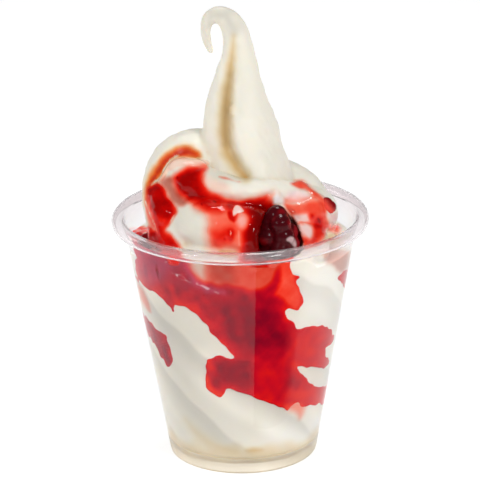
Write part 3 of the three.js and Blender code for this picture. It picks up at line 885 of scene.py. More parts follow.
# Films of poured sauce on the swirl
FILM = 0.9
FILM_MARGIN = 1.2
FILM_EDGE = (-0.3, 3.4)
FILM_DIP = 0.25
FILM_DIP_EDGE = (-FILM_MARGIN, 0.5)
FILM_FOOT = 0.7
FILM_DEEPEST = 9
FILM_WRAP_ROUNDS = 4 * WRAP_ROUNDS
FILM_EDGE_RIPPLES = [(0.2, 7, 31)]
FILM_RIPPLES = [(0.1, 6, 33)]
FILM_DEPTH_RIPPLES = [(0.08, 8, 34), (0.03, 2.6, 35)]
BLEND = 0.7


def shell(outer, inner, faces):
    """A closed skin from an open patch of faces, given its outer and inner points."""
    pairs = face_sides(faces)
    _, place, count = np.unique(np.sort(pairs, axis=1), axis=0, return_inverse=True, return_counts=True)
    rim = pairs[count[place.reshape(-1)] == 1]
    step = len(outer)
    sides = np.stack([rim[:, 1], rim[:, 0], rim[:, 0] + step, rim[:, 1] + step], 1)
    return np.vstack([outer, inner]), np.vstack([faces, faces[:, ::-1] + step, sides])


def only(points, faces, keep):
    """The faces for which keep is true, with their points numbered anew."""
    faces = faces[keep]
    used, numbers = np.unique(faces, return_inverse=True)
    return points[used], numbers.reshape(-1, 4)


def reach_of(view, bodies):
    """How far points lie inside any of several outlines that flow together, in millimetres."""
    return BLEND * np.log(np.sum([np.exp(view.inside(outline) / BLEND) for outline in bodies], 0))


def film(name, node, bodies, layers, tree, points, faces, view, material):
    keep = (reach_of(view, bodies) > -FILM_MARGIN)[faces].any(1)
    patch, patch_faces = modified(*only(points, faces, keep), "SUBSURF", levels=1, render_levels=1)
    patch_faces = np.array(patch_faces)
    normals = normals_of(patch, patch_faces)
    patch_view = View(patch, in_sight(patch, edges_of(patch_faces), tree, FILM_WRAP_ROUNDS))
    inside = reach_of(patch_view, bodies) + rough(patch, FILM_EDGE_RIPPLES)
    thick = FILM * smooth_step(inside, *FILM_EDGE) * (1 + rough(patch, FILM_RIPPLES))
    thick -= FILM_DIP * (1 - smooth_step(inside, *FILM_DIP_EDGE))
    depth = patch_view.painted(layers) * (1 + rough(patch, FILM_DEPTH_RIPPLES))
    body, body_faces = shell(patch + normals * thick[:, None], patch - normals * FILM_FOOT, patch_faces)
    piece = new_piece(name, body, body_faces.tolist(), material)
    shade = patch_view.painted(SHADE_LAYERS)
    colours = stained(np.clip(depth, 0, FILM_DEEPEST), shade, patch_view.painted(AMBER_LAYERS))
    # Painted light and shade, as on the soft serve
    colours = colours * patch_view.painted(LIGHT_AND_SHADE_LAYERS, 1)[:, None]
    paint(piece, "sauce", np.tile(colours, (2, 1)))
    stand_in(piece, node)


# Sauce behind the front of the wall, in the photograph's view
MAIN_SAUCE = [
    [135.5, 244], [137.5, 256], [137, 268], [137.5, 277], [142, 283], [148, 288], [155, 292.5],
    [163, 299.5], [168, 306.5], [173.5, 312], [176, 310], [174.5, 304], [179, 304], [184, 305.5],
    [192, 310], [199, 317], [205, 324], [210.5, 331], [216, 337], [222, 342.5], [228, 349], [233, 357],
    [226.5, 357], [218.5, 355.5], [209, 359.5], [207, 365.5], [206, 374.5], [206, 383], [208, 389],
    [214, 393], [220, 396], [225, 394], [226.5, 388.5], [233.5, 389.5], [240.5, 392], [250, 395.5],
    [261, 400], [273, 404], [282, 407], [287, 410], [291, 405], [297, 402.5], [301, 406], [310, 405],
    [318, 404], [334, 402], [336, 386], [319, 386], [312, 384], [305, 378], [297, 368], [299, 366],
    [310, 366.5], [321, 367], [328, 364], [327, 358.5], [323.5, 355], [324.5, 348], [330.5, 342.5],
    [333, 336.5], [331, 329.5], [323.5, 326], [314, 325], [305, 327], [297, 327], [291, 321.5],
    [285.5, 314.5], [284.5, 310.5], [289, 307.5], [296, 310], [299, 307.5], [302.5, 299.5], [299, 289],
    [296, 281], [299, 276.5], [291.5, 274], [290, 262], [286, 246], [240, 250], [185, 250], [160, 246],
]
LEFT_DARK = [
    [144, 312], [150, 320], [160, 330], [168, 340], [170.5, 349], [174, 358.5], [170.5, 366.5],
    [162, 356], [155, 343], [148, 330],
]
RIGHT_WEDGE = [[336.5, 277.3], [340, 273], [345, 269.5], [356, 264], [356, 294], [345, 289], [340.5, 283]]

# The same on the sides that the photograph doesn't show: [angle in degrees, height], the right side at 0
RIGHT_SIDE = [[-12, 18.8], [5, 17.6], [20, 17], [30, 17], [30, 19.5], [15, 23], [0, 25.4], [-12, 27.2]]
BACK_SWEEP = [
    [-9, 64.5], [18, 61.5], [40, 62.5], [60, 58], [92, 60.5], [118, 54.5], [140, 55], [160, 51.5],
    [187, 49], [187, 55], [166, 57.5], [148, 62.5], [122, 62], [104, 66.5], [74, 69.5], [56, 68],
    [28, 71.5], [-9, 73.5],
]

# Depths of the sauce behind the wall
DARK_MIDDLE = [[218, 302], [262, 302], [286, 328], [286, 345], [262, 352], [232, 340]]
DARK_LOW = [[216, 362], [236, 359], [252, 363], [252, 386], [236, 386], [216, 380]]
BRIGHT_LOW = [[254, 358], [280, 358], [284, 398], [268, 400], [254, 392]]
RIGHT_LUMP = [
    [294, 328], [316, 324], [334, 330], [334, 340], [325, 352], [327, 362], [300, 366], [288, 362],
    [286, 374], [280, 380], [280, 360], [288, 345],
]
RIGHT_LOW = [[300, 384], [318, 387], [336, 386], [334, 403], [300, 405], [284, 404], [280, 392]]
LEFT_FRINGE = [[211, 331], [221, 341], [229, 350], [233, 358], [226, 352], [219, 344], [212, 336]]
LOW_FRINGE = [[204, 370], [210, 376], [213, 386], [222, 391], [224, 398], [212, 396], [203, 388]]
RIGHT_BLOB = [
    [276, 252], [292, 258], [297, 280], [303, 296], [299, 311], [289, 309], [280, 300], [272, 294],
    [278, 280],
]
DRIP_EDGE = [[284, 404], [300, 401], [302, 408], [287, 412]]
FRONT_LOBE_SEEN = [
    [188, 246], [189, 268], [193, 275], [199, 280], [207, 284], [217, 286.5], [229, 287], [240, 289],
    [254, 291], [264, 289.5], [271, 284], [276, 275], [277, 246],
]
FRONT_LOBE_PALE = [[184, 250], [188, 268], [196, 280], [206, 282], [210, 270], [207, 252]]
FRONT_LOBE_SHADOW = [[210, 252], [230, 252], [236, 268], [234, 285], [216, 284], [209, 272]]
DARK_DRIP = [[157.5, 264, 0.7], [158.5, 271, 1.1], [159.5, 278, 0.6]]
DARK_THREAD = [[238, 360, 0.5], [246, 361.5, 0.8], [252, 361, 0.5]]
WALL_LAYERS = [
    (9.2, 8.0, [DARK_MIDDLE]),
    (8.9, 6.0, [DARK_LOW]),
    (5.6, 7.0, [BRIGHT_LOW]),
    (4.9, 6.0, [RIGHT_LUMP]),
    (4.2, 6.0, [RIGHT_LOW]),
    (8.4, 3.0, [LEFT_DARK]),
    (3.0, 2.6, [LEFT_FRINGE]),
    (3.2, 2.6, [LOW_FRINGE]),
    (2.1, 3.6, [FRONT_LOBE_SEEN]),
    (0.3, 7.0, [FRONT_LOBE_PALE]),
    (2.5, 4.0, [RIGHT_BLOB]),
    (3.0, 2.0, [DRIP_EDGE]),
    (9.5, 0.8, [DARK_DRIP, DARK_THREAD]),
]
# Painted shade on the front lobe behind the wall, darkest in its middle
WALL_SHADE_LAYERS = [(0.8, 4.0, [FRONT_LOBE_SEEN]), (0.58, 7.0, [FRONT_LOBE_SHADOW])]

# Painted reflections over it: mauve veils, and pale broken lines where it shines, which are painted
# highlights
VEIL_REFLECTION = np.array([0.52, 0.13, 0.25])
UPPER_LEFT = [
    [128, 242], [186, 246], [190, 272], [206, 284], [218, 291], [196, 292], [172, 287], [148, 277],
    [134, 262],
]
FAR_LEFT = [[128, 242], [186, 247], [186, 262], [172, 270], [160, 282], [148, 284], [134, 262]]
LOBE_EDGE = [[187, 250, 4], [188.5, 268, 4], [195, 281, 4], [208, 289, 3], [224, 292, 2]]
VEIL_LAYERS = [
    (0.1, 6.0, [UPPER_LEFT, LEFT_DARK]),
    (0.36, 6.0, [FAR_LEFT]),
    (0.42, 3.6, [LOBE_EDGE]),
    (0, 0.8, [DARK_DRIP]),
]
SHEEN = np.array([0.85, 0.66, 0.68])
SHEEN_SHARE = 0.85
SHEEN_LINES = [
    [[166, 270, 0.3], [178, 275, 0.6], [191, 282, 0.7]],
    [[198, 283, 0.4], [208, 288, 0.6], [219, 293, 0.4]],
    [[166, 262, 0.4], [173, 258, 0.5]],
]
SHEEN_SOFTNESS = 0.7
SHEEN_BREAKS = [(1, 2.2, 46)]
SHEEN_BREAK_SPAN = (-0.6, 0.8)

# Its depth from the edge to the core, and the crimson that deep sauce takes on
CRIMSON = np.array([0, 0.002, 0.017])
CRIMSON_SPAN = (3, 6)
EDGE_DEPTH = 5.0
CORE_DEPTH = 2.3
CORE_SPAN = (0.3, 5)
DEPTH_RIPPLES = [(0.3, 12, 43)]
DEPTH_SHARE_RIPPLES = [(0.07, 5, 44), (0.02, 1.6, 45)]
WALL_DEEPEST = 10

# The body of the sauce behind the wall: it reaches just into the wall, and inwards into the soft serve
WALL_STEP = 0.36
MEAN_RADIUS = 35
SAUCE_LOW = 13
SAUCE_TOP = 86
SAUCE_MARGIN = 0.8
SAUCE_REACH = 0.42
SAUCE_DIP = 0.9
SAUCE_DIP_EDGE = (-0.2, 0.5)
SAUCE_SKIN = 0.7
SAUCE_DEPTH = 12
SAUCE_SLOPE = 7
SAUCE_THIN_SPAN = (79, 83)
SAUCE_EDGE_RIPPLES = [(0.1, 6, 41)]
STRANDS = 9
STRAND_LENGTH = 9
STRAND_RIPPLES = [(0.13, 1.6, 42)]
FRONT_ANGLES = (-190, 34)
BACK_ANGLES = (-31, 228)


def unrolled(outline):
    """An outline of angles and heights, with the angles as lengths round the wall."""
    return [[math.radians(angle) * MEAN_RADIUS, z] for angle, z in outline]


def wall_colours(points, view, distance):
    """Colours of the sauce behind the wall, by distance from its edge, negative inside, with painted shade,
    painted reflection and painted highlights over them.
    """
    depth = EDGE_DEPTH + CORE_DEPTH * smooth_step(-distance, *CORE_SPAN) + rough(points, DEPTH_RIPPLES)
    depth = view.painted(WALL_LAYERS, depth) * (1 + rough(points, DEPTH_SHARE_RIPPLES))
    colours = stained(np.clip(depth, 0, WALL_DEEPEST)) + CRIMSON * smooth_step(depth, *CRIMSON_SPAN)[:, None]
    veil = view.painted(VEIL_LAYERS)[:, None]
    colours = (colours + (VEIL_REFLECTION - colours) * veil) * view.painted(WALL_SHADE_LAYERS, 1)[:, None]
    unbroken = smooth_step(rough(points, SHEEN_BREAKS), *SHEEN_BREAK_SPAN)
    sheen = SHEEN_SHARE * view.mask(SHEEN_LINES, SHEEN_SOFTNESS) * unbroken
    return colours + (SHEEN - colours) * sheen[:, None]


def wall_sauce(name, node, outlines, side_outlines, angles, material):
    heights = np.arange(SAUCE_LOW, SAUCE_TOP, WALL_STEP)
    turns = np.radians(np.arange(*angles, np.degrees(WALL_STEP / MEAN_RADIUS)))
    turn, z = (grid.ravel() for grid in np.meshgrid(turns, heights))
    faces = grid_faces(len(heights), len(turns), False)
    radius = inner_radius(z)
    away = np.stack([np.cos(turn), np.sin(turn), 0 * z], 1)
    middle = np.stack([radius * np.cos(turn), radius * np.sin(turn), z], 1)
    facing = np.einsum("ij,ij->i", eye_place() - middle, away - UPWARD * WALL_SLOPE) > 0
    view = View(middle, facing.astype(float))
    places = np.stack([turn * MEAN_RADIUS, z], 1)
    distance = -np.max([view.inside(outline) for outline in outlines], 0)
    sides = [outline_distance(places, unrolled(outline)) for outline in side_outlines]
    distance = np.min([distance, *sides], 0)
    strands = np.stack([STRANDS * across_folds(middle), 0 * z, z / STRAND_LENGTH], 1)
    distance = distance + rough(middle, SAUCE_EDGE_RIPPLES) + rough(strands, STRAND_RIPPLES)
    keep = (distance < SAUCE_MARGIN)[faces].any(1)
    reach = SAUCE_REACH - SAUCE_DIP * smooth_step(distance, *SAUCE_DIP_EDGE)
    fullness = 1 - np.exp(np.minimum(distance, 0) / SAUCE_SLOPE)
    deep = SAUCE_SKIN + SAUCE_DEPTH * fullness * (1 - smooth_step(z, *SAUCE_THIN_SPAN))
    outer = middle + away * reach[:, None]
    together = np.hstack([outer, outer - away * deep[:, None], wall_colours(middle, view, distance)])
    together, faces = only(together, faces, keep)
    body, body_faces = shell(together[:, :3], together[:, 3:6], faces)
    piece = new_piece(name, body, body_faces.tolist(), material)
    paint(piece, "sauce", np.tile(together[:, 6:], (2, 1)))
    stand_in(piece, node)


# Berries. Drupelet is the radius of the small balls, and taper narrows the end that axis points to
DARK_BERRY = {
    "centre": [13.1, -28.8, 92.4],
    "axis": [-0.12, -0.1, 1],
    "length": 20.5,
    "width": 15.8,
    "drupelet": 3.3,
    "taper": 0.65,
}
LEFT_BERRY = {
    "centre": [-33.6, -8, 81],
    "axis": [-0.3, -1, 0.1],
    "length": 12,
    "width": 9.5,
    "drupelet": 2.7,
    "taper": 0.15,
}
RIGHT_BERRY = {
    "centre": [30.5, -16.6, 98.2],
    "axis": [0.6, -0.2, -0.8],
    "length": 6.4,
    "width": 5.6,
    "drupelet": 2,
    "taper": 0.1,
}
DRUPELET_SPACING = 1.72
DRUPELET_SCALE = (0.85, 1.2)
FEWEST_IN_ROW = 3
TURN_SPREAD = 0.08
PLACE_SPREAD = 0.35
BERRY_FINENESS = 9
BERRY_ROUNDS = 9
BERRY_HOLLOW_ROUNDS = 12
BERRY_HOLLOW_SPAN = (0, 0.35)
RIPE_LENGTH = 6
RIPE_SPAN = (-3.2, -0.6)
BALL_SIDES = 24


def berry_turn(sizes):
    """The matrix that turns a berry from upright to its axis."""
    return np.array(Vector(UPWARD).rotation_difference(Vector(sizes["axis"])).to_matrix())


def ball(centre, radius):
    polar = np.linspace(np.pi, 0, BALL_SIDES // 2 + 1)[1:-1]
    rings = lathe(np.stack([np.sin(polar), np.cos(polar)], 1), BALL_SIDES)
    scale = np.broadcast_to(radius, 3)
    return loft(centre + rings * scale, centre - UPWARD * scale, centre + UPWARD * scale)


# What lies on the berries: pale smears, which are also painted highlights, thin sauce, and painted light that
# makes the shadowed right side of the dark berry red
BERRY_SMEAR_HIGHLIGHTS = [
    [[287, 240], [290, 237.5], [294, 238], [296, 243], [295, 247], [291, 243]],
    [[294, 250.5], [297, 249], [299, 252], [295, 253]],
]
PALE_SMEAR_HIGHLIGHT = np.array([0.62, 0.42, 0.42])
BERRY_SAUCE = [[318, 195], [324, 199], [329, 204.5], [333, 210], [337, 217], [325, 218], [318, 208]]
THIN_SAUCE = np.array([0.86, 0.075, 0.05])
# Painted light on the dark berry's right side, which lies in shadow
BERRY_LIT_SIDE = [[296, 226], [300, 233], [304, 243], [305, 254], [297, 252], [296.5, 242], [294, 232]]
SIDE_LIGHT_RED = np.array([0.34, 0.012, 0.018])
JUICE = 0.5
BERRY_COATS_AND_LIGHT = [
    (SIDE_LIGHT_RED, 2.0, [BERRY_LIT_SIDE]),
    (PALE_SMEAR_HIGHLIGHT, 0.8, BERRY_SMEAR_HIGHLIGHTS),
    (THIN_SAUCE, 2.5, [BERRY_SAUCE]),
]
DARK_SKIN = np.array([0.052, 0.002, 0.0045])
RED_SKIN = np.array([0.25, 0.003, 0.006])


def berry(name, node, sizes, material, seed, ripe):
    """A berry, from red where ripe is 0 to dark where it is 1, with red juice between its drupelets."""
    draw = np.random.default_rng(seed)
    drupelet = sizes["drupelet"]
    high = sizes["length"] / 2 - drupelet
    wide = sizes["width"] / 2 - drupelet
    rows = round(math.pi * (high + drupelet / 2) / (DRUPELET_SPACING * drupelet))
    parts = [ball(np.zeros(3), [wide, wide, high])]
    for row in range(rows):
        polar = math.pi * (row + 0.5) / rows
        reach = wide * math.sin(polar) * (1 - sizes["taper"] * math.cos(polar))
        count = max(FEWEST_IN_ROW, round(2 * math.pi * reach / (DRUPELET_SPACING * drupelet)))
        for i in range(count):
            turn = 2 * math.pi * (i + 0.5 * (row % 2)) / count + draw.normal(0, TURN_SPREAD)
            place = np.array([reach * math.cos(turn), reach * math.sin(turn), high * math.cos(polar)])
            place = place + draw.normal(0, PLACE_SPREAD, 3)
            parts.append(ball(place, drupelet * draw.uniform(*DRUPELET_SCALE)))
    points, faces = fused(parts, drupelet / BERRY_FINENESS)
    faces = np.array(faces)
    edges = edges_of(faces)
    points = relaxed(points, edges, BERRY_ROUNDS)
    juicy = JUICE * smooth_step(hollows(points, faces, edges, BERRY_HOLLOW_ROUNDS), *BERRY_HOLLOW_SPAN)
    share = ripe * (1 - juicy) * smooth_step(ripple(points, RIPE_LENGTH, seed), *RIPE_SPAN)
    colours = RED_SKIN + (DARK_SKIN - RED_SKIN) * share[:, None]
    points = points @ berry_turn(sizes).T + np.array(sizes["centre"])
    front = normals_of(points, faces) @ (eye_place() - sizes["centre"]) > 0
    view = View(points, front.astype(float))
    for shade, softness, outlines in BERRY_COATS_AND_LIGHT:
        colours = colours + (shade - colours) * view.mask(outlines, softness)[:, None]
    piece = new_piece(name, points, faces.tolist(), material)
    paint(piece, "skin", colours)
    stand_in(piece, node)


# The way in which soft serve yields to a berry, and the share of the berry's taper that its pocket has
INWARD = np.array([0.04, 0.95, -0.31])
POCKET_TAPER = 0.7


def pocketed(points, sizes):
    """Moves the surface back behind a berry, along one direction, where the berry would be inside it."""
    turn = berry_turn(sizes)
    half = np.array([sizes["width"], sizes["width"], sizes["length"]]) / 2
    local = (points - np.array(sizes["centre"])) @ turn / half
    way = np.tile(INWARD @ turn / half, (len(points), 1))
    narrow = 1 - POCKET_TAPER * sizes["taper"] * np.clip(local[:, 2:], -1, 1)
    local[:, :2] /= narrow
    way[:, :2] /= narrow
    along = (local * way).sum(1)
    square = (way**2).sum(1)
    room = along**2 - square * ((local**2).sum(1) - 1)
    step = (-along + np.sqrt(np.maximum(room, 0))) / square
    inside = (room > 0) & (step > 0) & (points[:, 1] < sizes["centre"][1] + sizes["width"] / 2)
    return points + np.where(inside, step, 0)[:, None] * INWARD


# The cup's surface, and the places of its rings
FLOOR_MIDDLE = 2
UNDERSIDE_EDGE = 3
UNDERSIDE_RINGS = 6
INNER_FLOOR_EDGE = 4
INNER_FLOOR_RINGS = 5
OUTER_WALL_START = 3
UNDER_LIP = 1
WALL_RINGS = 12
LIP_INSIDE_RINGS = 24
LIP_OUTSIDE_RINGS = 30


def arc(centre, radius, start, end, count):
    angle = np.radians(np.linspace(start, end, count))
    return np.stack([centre[0] + radius * np.cos(angle), centre[1] + radius * np.sin(angle)], 1).tolist()


def cup(material):
    lip = [RIM_RADIUS - LIP_RADIUS, CUP_HEIGHT - LIP_RADIUS]
    foot_outer = outer_radius(FOOT_TOP)
    foot_inner = foot_outer - FOOT_WIDTH
    under_lip = lip[1] - UNDER_LIP
    underside = np.linspace(FLOOR_MIDDLE, foot_inner - UNDERSIDE_EDGE, UNDERSIDE_RINGS)
    inner_floor = np.linspace(foot_inner - INNER_FLOOR_EDGE, FLOOR_MIDDLE, INNER_FLOOR_RINGS)
    profile = [[radius, FLOOR_LEVEL] for radius in underside]
    profile += [[foot_inner + x, z] for x, z in FOOT_INSIDE]
    profile += [[foot_outer + x, z] for x, z in FOOT_OUTSIDE]
    profile += [[outer_radius(z), z] for z in np.linspace(OUTER_WALL_START, under_lip, WALL_RINGS)]
    profile += arc(lip, LIP_RADIUS - WALL, 180, LIP_END_ANGLE, LIP_INSIDE_RINGS)
    profile += arc(lip, LIP_RADIUS, LIP_END_ANGLE, 180, LIP_OUTSIDE_RINGS)
    profile += [[inner_radius(z), z] for z in np.linspace(under_lip, CORNER_TOP, WALL_RINGS)]
    profile += floor_corner()[::-1]
    profile += [[radius, INNER_FLOOR] for radius in inner_floor]
    points, faces = loft(lathe(np.array(profile), CUP_SEGMENTS), [0, 0, FLOOR_LEVEL], [0, 0, INNER_FLOOR])
    stand_in(new_piece("cup_clear", points, faces, material), "cup")


# Materials


class Nodes:
    """Makes and links shader nodes. An input gets either the output of another node or a plain value."""

    def __init__(self, tree):
        self.tree = tree

    def feed(self, target, value):
        if isinstance(value, bpy.types.NodeSocket):
            self.tree.links.new(value, target)
        else:
            target.default_value = value

    def node(self, kind, inputs=(), **settings):
        """Makes a node and returns its outputs."""
        made = self.tree.nodes.new("ShaderNode" + kind)
        for key, value in settings.items():
            setattr(made, key, value)
        for key, value in dict(inputs).items():
            self.feed(made.inputs[key], value)
        return made.outputs

    def noise(self, scale, detail=3.0):
        place = self.node("TexCoord")["Object"]
        return self.node("TexNoise", {"Scale": scale, "Detail": detail, "Vector": place})["Fac"]

    def height(self, space):
        place = self.node("TexCoord")[space]
        return self.node("SeparateXYZ", {"Vector": place})["Z"]

    def between(self, value, low, high, start=0.0, end=1.0):
        span = {"From Min": start, "From Max": end, "To Min": low, "To Max": high}
        return self.node("MapRange", {"Value": value, **span})["Result"]

    def maths(self, operation, first, second):
        """A sum or product and so on, held between 0 and 1."""
        return self.node("Math", {0: first, 1: second}, operation=operation, use_clamp=True)["Value"]

    def mixed_values(self, share, first, second):
        return self.node("Mix", {0: share, 2: first, 3: second}, data_type="FLOAT")[0]

    def mixed_colours(self, share, first, second):
        return self.node("Mix", {0: share, 6: first, 7: second}, data_type="RGBA")[2]

    def bump(self, height, distance, strength):
        return self.node("Bump", {"Height": height, "Distance": distance, "Strength": strength})["Normal"]

    def colour_of(self, name):
        return self.node("VertexColor", layer_name=name)["Color"]


class Shader(Nodes):
    """A material whose principled shader gets its inputs by name."""

    def __init__(self, name, **inputs):
        self.material = bpy.data.materials.new(name)
        self.material.use_nodes = True
        super().__init__(self.material.node_tree)
        self.main = self.tree.nodes["Principled BSDF"]
        self.set(**inputs)

    def set(self, **inputs):
        for key, value in inputs.items():
            self.feed(self.main.inputs[key.replace("_", " ")], value)


def soft_serve_material():
    shader = Shader("soft_serve", Subsurface_Weight=0.35, Subsurface_Scale=2.2 * MM, Specular_IOR_Level=0.35)
    shader.set(
        Subsurface_Radius=(1.0, 0.72, 0.42),
        Base_Color=shader.colour_of("cream"),
        Roughness=shader.between(shader.noise(scale=260), low=0.36, high=0.52),
        Normal=shader.bump(shader.noise(scale=1400, detail=4.0), distance=0.2 * MM, strength=0.12),
    )
    return shader.material


def sauce_material(name, gloss):
    shader = Shader(name, Subsurface_Weight=0.12, Subsurface_Scale=1.2 * MM, Specular_IOR_Level=gloss)
    shader.set(
        Subsurface_Radius=(1.0, 0.2, 0.15),
        Base_Color=shader.colour_of("sauce"),
        Roughness=shader.between(shader.noise(scale=500), low=0.05, high=0.12),
        Normal=shader.bump(shader.noise(scale=600, detail=2.0), distance=0.3 * MM, strength=0.06),
    )
    return shader.material


def berry_material():
    shader = Shader("berry_skin", Specular_IOR_Level=0.14)
    shader.set(
        Base_Color=shader.colour_of("skin"),
        Roughness=shader.between(shader.noise(scale=420), low=0.1, high=0.26),
        Normal=shader.bump(shader.noise(scale=1500), distance=0.3 * MM, strength=0.2),
    )
    return shader.material


# The plastic is clear on the wall and duller at its foot and lip, and its beige at the foot is a painted
# reflection of the soft serve; spans are heights in metres
PLASTIC_IOR = 1.38
DULL_FOOT = 0.3
DULL_FOOT_SPAN = (6 * MM, 9 * MM)
DULL_LIP = 0.04
LIP_CLEARNESS = 0.95
LIP_SPAN = (85.5 * MM, 87 * MM)
WALL_TINT = (0.9, 0.89, 0.905, 1)
LIP_TINT = (0.885, 0.835, 0.845, 1)
LIP_TINT_SPAN = (82 * MM, 87 * MM)
FOOT_REFLECTION_TINT = (0.93, 0.865, 0.745, 1)
FOOT_REFLECTION_SPAN = (3 * MM, 6 * MM)
SHADOW_TINT = (0.9, 0.905, 0.91, 1)


def cup_material():
    shader = Shader("clear_plastic", IOR=PLASTIC_IOR)
    height = shader.height("Object")
    dull_foot = shader.between(height, DULL_FOOT, 0, *DULL_FOOT_SPAN)
    dull_lip = shader.between(height, 0, DULL_LIP, *LIP_SPAN)
    tint = shader.mixed_colours(shader.between(height, 0, 1, *FOOT_REFLECTION_SPAN), FOOT_REFLECTION_TINT, WALL_TINT)
    shader.set(
        Roughness=shader.maths("ADD", dull_foot, dull_lip),
        Base_Color=shader.mixed_colours(shader.between(height, 0, 1, *LIP_TINT_SPAN), tint, LIP_TINT),
        Transmission_Weight=shader.between(height, 1, LIP_CLEARNESS, *LIP_SPAN),
    )
    shadow = shader.node("LightPath")["Is Shadow Ray"]
    clear = shader.node("BsdfTransparent", {"Color": SHADOW_TINT})["BSDF"]
    plastic = shader.main.outputs["BSDF"]
    both = shader.node("MixShader", {"Fac": shadow, 1: plastic, 2: clear})["Shader"]
    shader.feed(shader.tree.nodes["Material Output"].inputs["Surface"], both)
    return shader.material


# Soft serve: stains of sauce, warm shade in hollows and at the foot, and painted shade in the creases between
# the folds
CREAM_HOLLOW_ROUNDS = 30
CREAM_HOLLOW_SPAN = (0.1, 1.1)
HOLLOW_SHADE = 0.5
LOW_SHADE = 0.45
LOW_SPAN = (6, 13)
LOW_RIPPLES = [(0.8, 9, 54)]
DEEPEST_SHADE = 1.8
FOLD_SHADE = 0.16
STREAKS = 4
STREAK_LENGTH = 30
STREAK_RIPPLES = [(0.022, 1.6, 56)]
STREAK_TOP_SPAN = (FILL_TOP - 4, FILL_TOP)


def cream_colours(points, faces, edges, view):
    z = points[:, 2]
    hollow = smooth_step(hollows(points, faces, edges, CREAM_HOLLOW_ROUNDS), *CREAM_HOLLOW_SPAN)
    low = 1 - smooth_step(z + rough(points, LOW_RIPPLES), *LOW_SPAN)
    shade = HOLLOW_SHADE * hollow + LOW_SHADE * low + view.painted(SHADE_LAYERS)
    depth = view.painted(STAIN_LAYERS + LEFT_LAYERS + TOP_LAYERS)
    along = np.stack([STREAKS * across_folds(points), 0 * z, z / STREAK_LENGTH], 1)
    streaks = rough(along, STREAK_RIPPLES) * (1 - smooth_step(z, *STREAK_TOP_SPAN))
    light_and_shade = (1 - FOLD_SHADE * fold_valley(points) + streaks) * view.painted(LIGHT_AND_SHADE_LAYERS, 1)
    return stained(depth, np.clip(shade, 0, DEEPEST_SHADE), view.painted(AMBER_LAYERS)) * light_and_shade[:, None]


def soft_serve(points, faces, edges, view):
    piece = new_piece("ice_cream_swirl", points, faces.tolist(), soft_serve_material())
    paint(piece, "cream", cream_colours(points, faces, edges, view))
    stand_in(piece, "ice_cream")


# Studio. Lamps: name, place and size in metres, power, and whether glossy surfaces show it
LAMP_AIM = Vector((0, 0, 0.1))
LAMPS = [
    ("key_right", (0.5, -0.75, 0.85), (0.22, 0.22), 5.0, True),
    ("glint_right", (0.42, -0.8, 0.85), (0.05, 0.05), 1.2, True),
    ("fill_left", (-0.7, -0.6, 0.6), (0.2, 0.3), 1.9, False),
    ("glint_left", (-0.6, -0.6, 0.7), (0.04, 0.06), 0.8, True),
    ("top", (0.1, 0.4, 1.0), (0.2, 0.2), 2.8, True),
    ("edge_left", (-0.8, 0.35, 0.5), (0.3, 0.3), 1.4, False),
]
WHITE = (1, 1, 1, 1)
FLOOR_CORNERS = [[-5000, -5000, 0], [5000, -5000, 0], [5000, 5000, 0], [-5000, 5000, 0]]
FLOOR_GLOW = 0.84

# Strength of the world's light: by height, in reflections, and where it is seen straight through the cup
HORIZON_LIGHT = 0.5
ZENITH_LIGHT = 0.08
ZENITH_HEIGHT = 0.7
MIRRORED_LIGHT = 0.1
SEEN_LIGHT = 0.95

# A dark card: corners [x, y], faces, and how bright each corner is
FLAG_LEVEL = 0.5
FLAG_COLOUR = (0.01, 0.01, 0.01, 1)
FLAG = [[9, -50], [34, -140], [110, -102], [27, -41.3], [165, -74.5], [41.6, -34.3]]
FLAG_FACES = [[0, 1, 2, 3], [3, 2, 4, 5]]
FLAG_GLOW = [0, 0, 0, 0, 1, 1]


def area_lamp(name, place, size, power, mirrored):
    data = bpy.data.lights.new(name, "AREA")
    data.shape = "RECTANGLE"
    data.size, data.size_y = size
    data.energy = power
    lamp = bpy.data.objects.new(name, data)
    lamp.location = place
    lamp.rotation_mode = "QUATERNION"
    lamp.rotation_quaternion = (LAMP_AIM - Vector(place)).to_track_quat("-Z", "Y")
    lamp.visible_glossy = mirrored
    bpy.context.scene.collection.objects.link(lamp)


def add_floor():
    shader = Shader("floor", Roughness=0.7, Specular_IOR_Level=0.2)
    shader.set(
        Base_Color=shader.between(shader.noise(scale=3.0), low=0.29, high=0.31),
        Emission_Color=WHITE,
        Emission_Strength=FLOOR_GLOW,
    )
    new_piece("floor", FLOOR_CORNERS, [[0, 1, 2, 3]], shader.material)


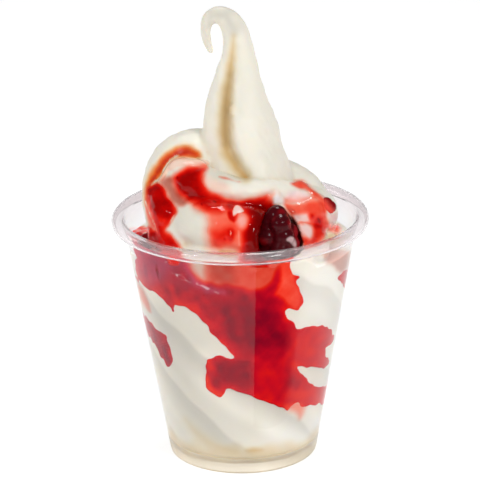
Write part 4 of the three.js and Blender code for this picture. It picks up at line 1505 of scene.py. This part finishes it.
def add_world():
    world = bpy.data.worlds.new("studio")
    world.use_nodes = True
    nodes = Nodes(world.node_tree)
    level = nodes.between(nodes.height("Generated"), HORIZON_LIGHT, ZENITH_LIGHT, end=ZENITH_HEIGHT)
    path = nodes.node("LightPath")
    reflected = nodes.maths("SUBTRACT", path["Is Glossy Ray"], path["Is Transmission Ray"])
    direct = nodes.maths("LESS_THAN", path["Diffuse Depth"], 0.5)
    through = nodes.maths("MULTIPLY", path["Is Transmission Ray"], direct)
    level = nodes.mixed_values(reflected, level, MIRRORED_LIGHT)
    level = nodes.mixed_values(through, level, SEEN_LIGHT)
    background = world.node_tree.nodes["Background"].inputs
    nodes.feed(background["Strength"], level)
    nodes.feed(background["Color"], WHITE)
    bpy.context.scene.world = world


def add_flag():
    """Lays the card just above the floor. It shows only in reflections, as on the front of the cup."""
    shader = Shader("flag", Base_Color=FLAG_COLOUR, Roughness=0.9, Emission_Strength=1.0)
    shader.set(Emission_Color=shader.colour_of("glow"))
    flag = new_piece("flag", [[x, y, FLAG_LEVEL] for x, y in FLAG], FLAG_FACES, shader.material)
    paint(flag, "glow", np.array(FLAG_GLOW, float)[:, None])
    flag.visible_camera = False
    flag.visible_diffuse = False
    flag.visible_transmission = False
    flag.visible_shadow = False


def studio():
    add_floor()
    add_world()
    for lamp in LAMPS:
        area_lamp(*lamp)
    add_flag()
    bpy.context.scene.view_settings.view_transform = "Standard"


points, faces, edges = ice_surface()
points = in_relief(points, faces, edges)
points = pocketed(points, DARK_BERRY)
tree = surface_tree(points, faces)
view = View(points, in_sight(points, edges, tree, WRAP_ROUNDS))
add_camera()
studio()
soft_serve(points, faces, edges, view)
sauce = sauce_material("berry_sauce", gloss=0.18)
film("sauce_film_left", "sauce_pour_left", LEFT_BODIES, LEFT_LAYERS, tree, points, faces, view, sauce)
film("sauce_film_top", "sauce_pour_top", TOP_BODIES, TOP_LAYERS, tree, points, faces, view, sauce)
pressed_sauce = sauce_material("berry_sauce_pressed", gloss=0.0)
wall_sauce("sauce_wall_front", "sauce_swirl_front", [MAIN_SAUCE], [RIGHT_SIDE], FRONT_ANGLES, pressed_sauce)
back_outlines = [LEFT_DARK, RIGHT_WEDGE]
wall_sauce("sauce_wall_back", "sauce_swirl_back", back_outlines, [BACK_SWEEP], BACK_ANGLES, pressed_sauce)
skin = berry_material()
berry("berry_front", "dark_berry", DARK_BERRY, skin, seed=61, ripe=0.95)
berry("berry_left", "left_berry", LEFT_BERRY, skin, seed=62, ripe=0.1)
berry("berry_right", "right_berry", RIGHT_BERRY, skin, seed=63, ripe=0.15)
cup(cup_material())
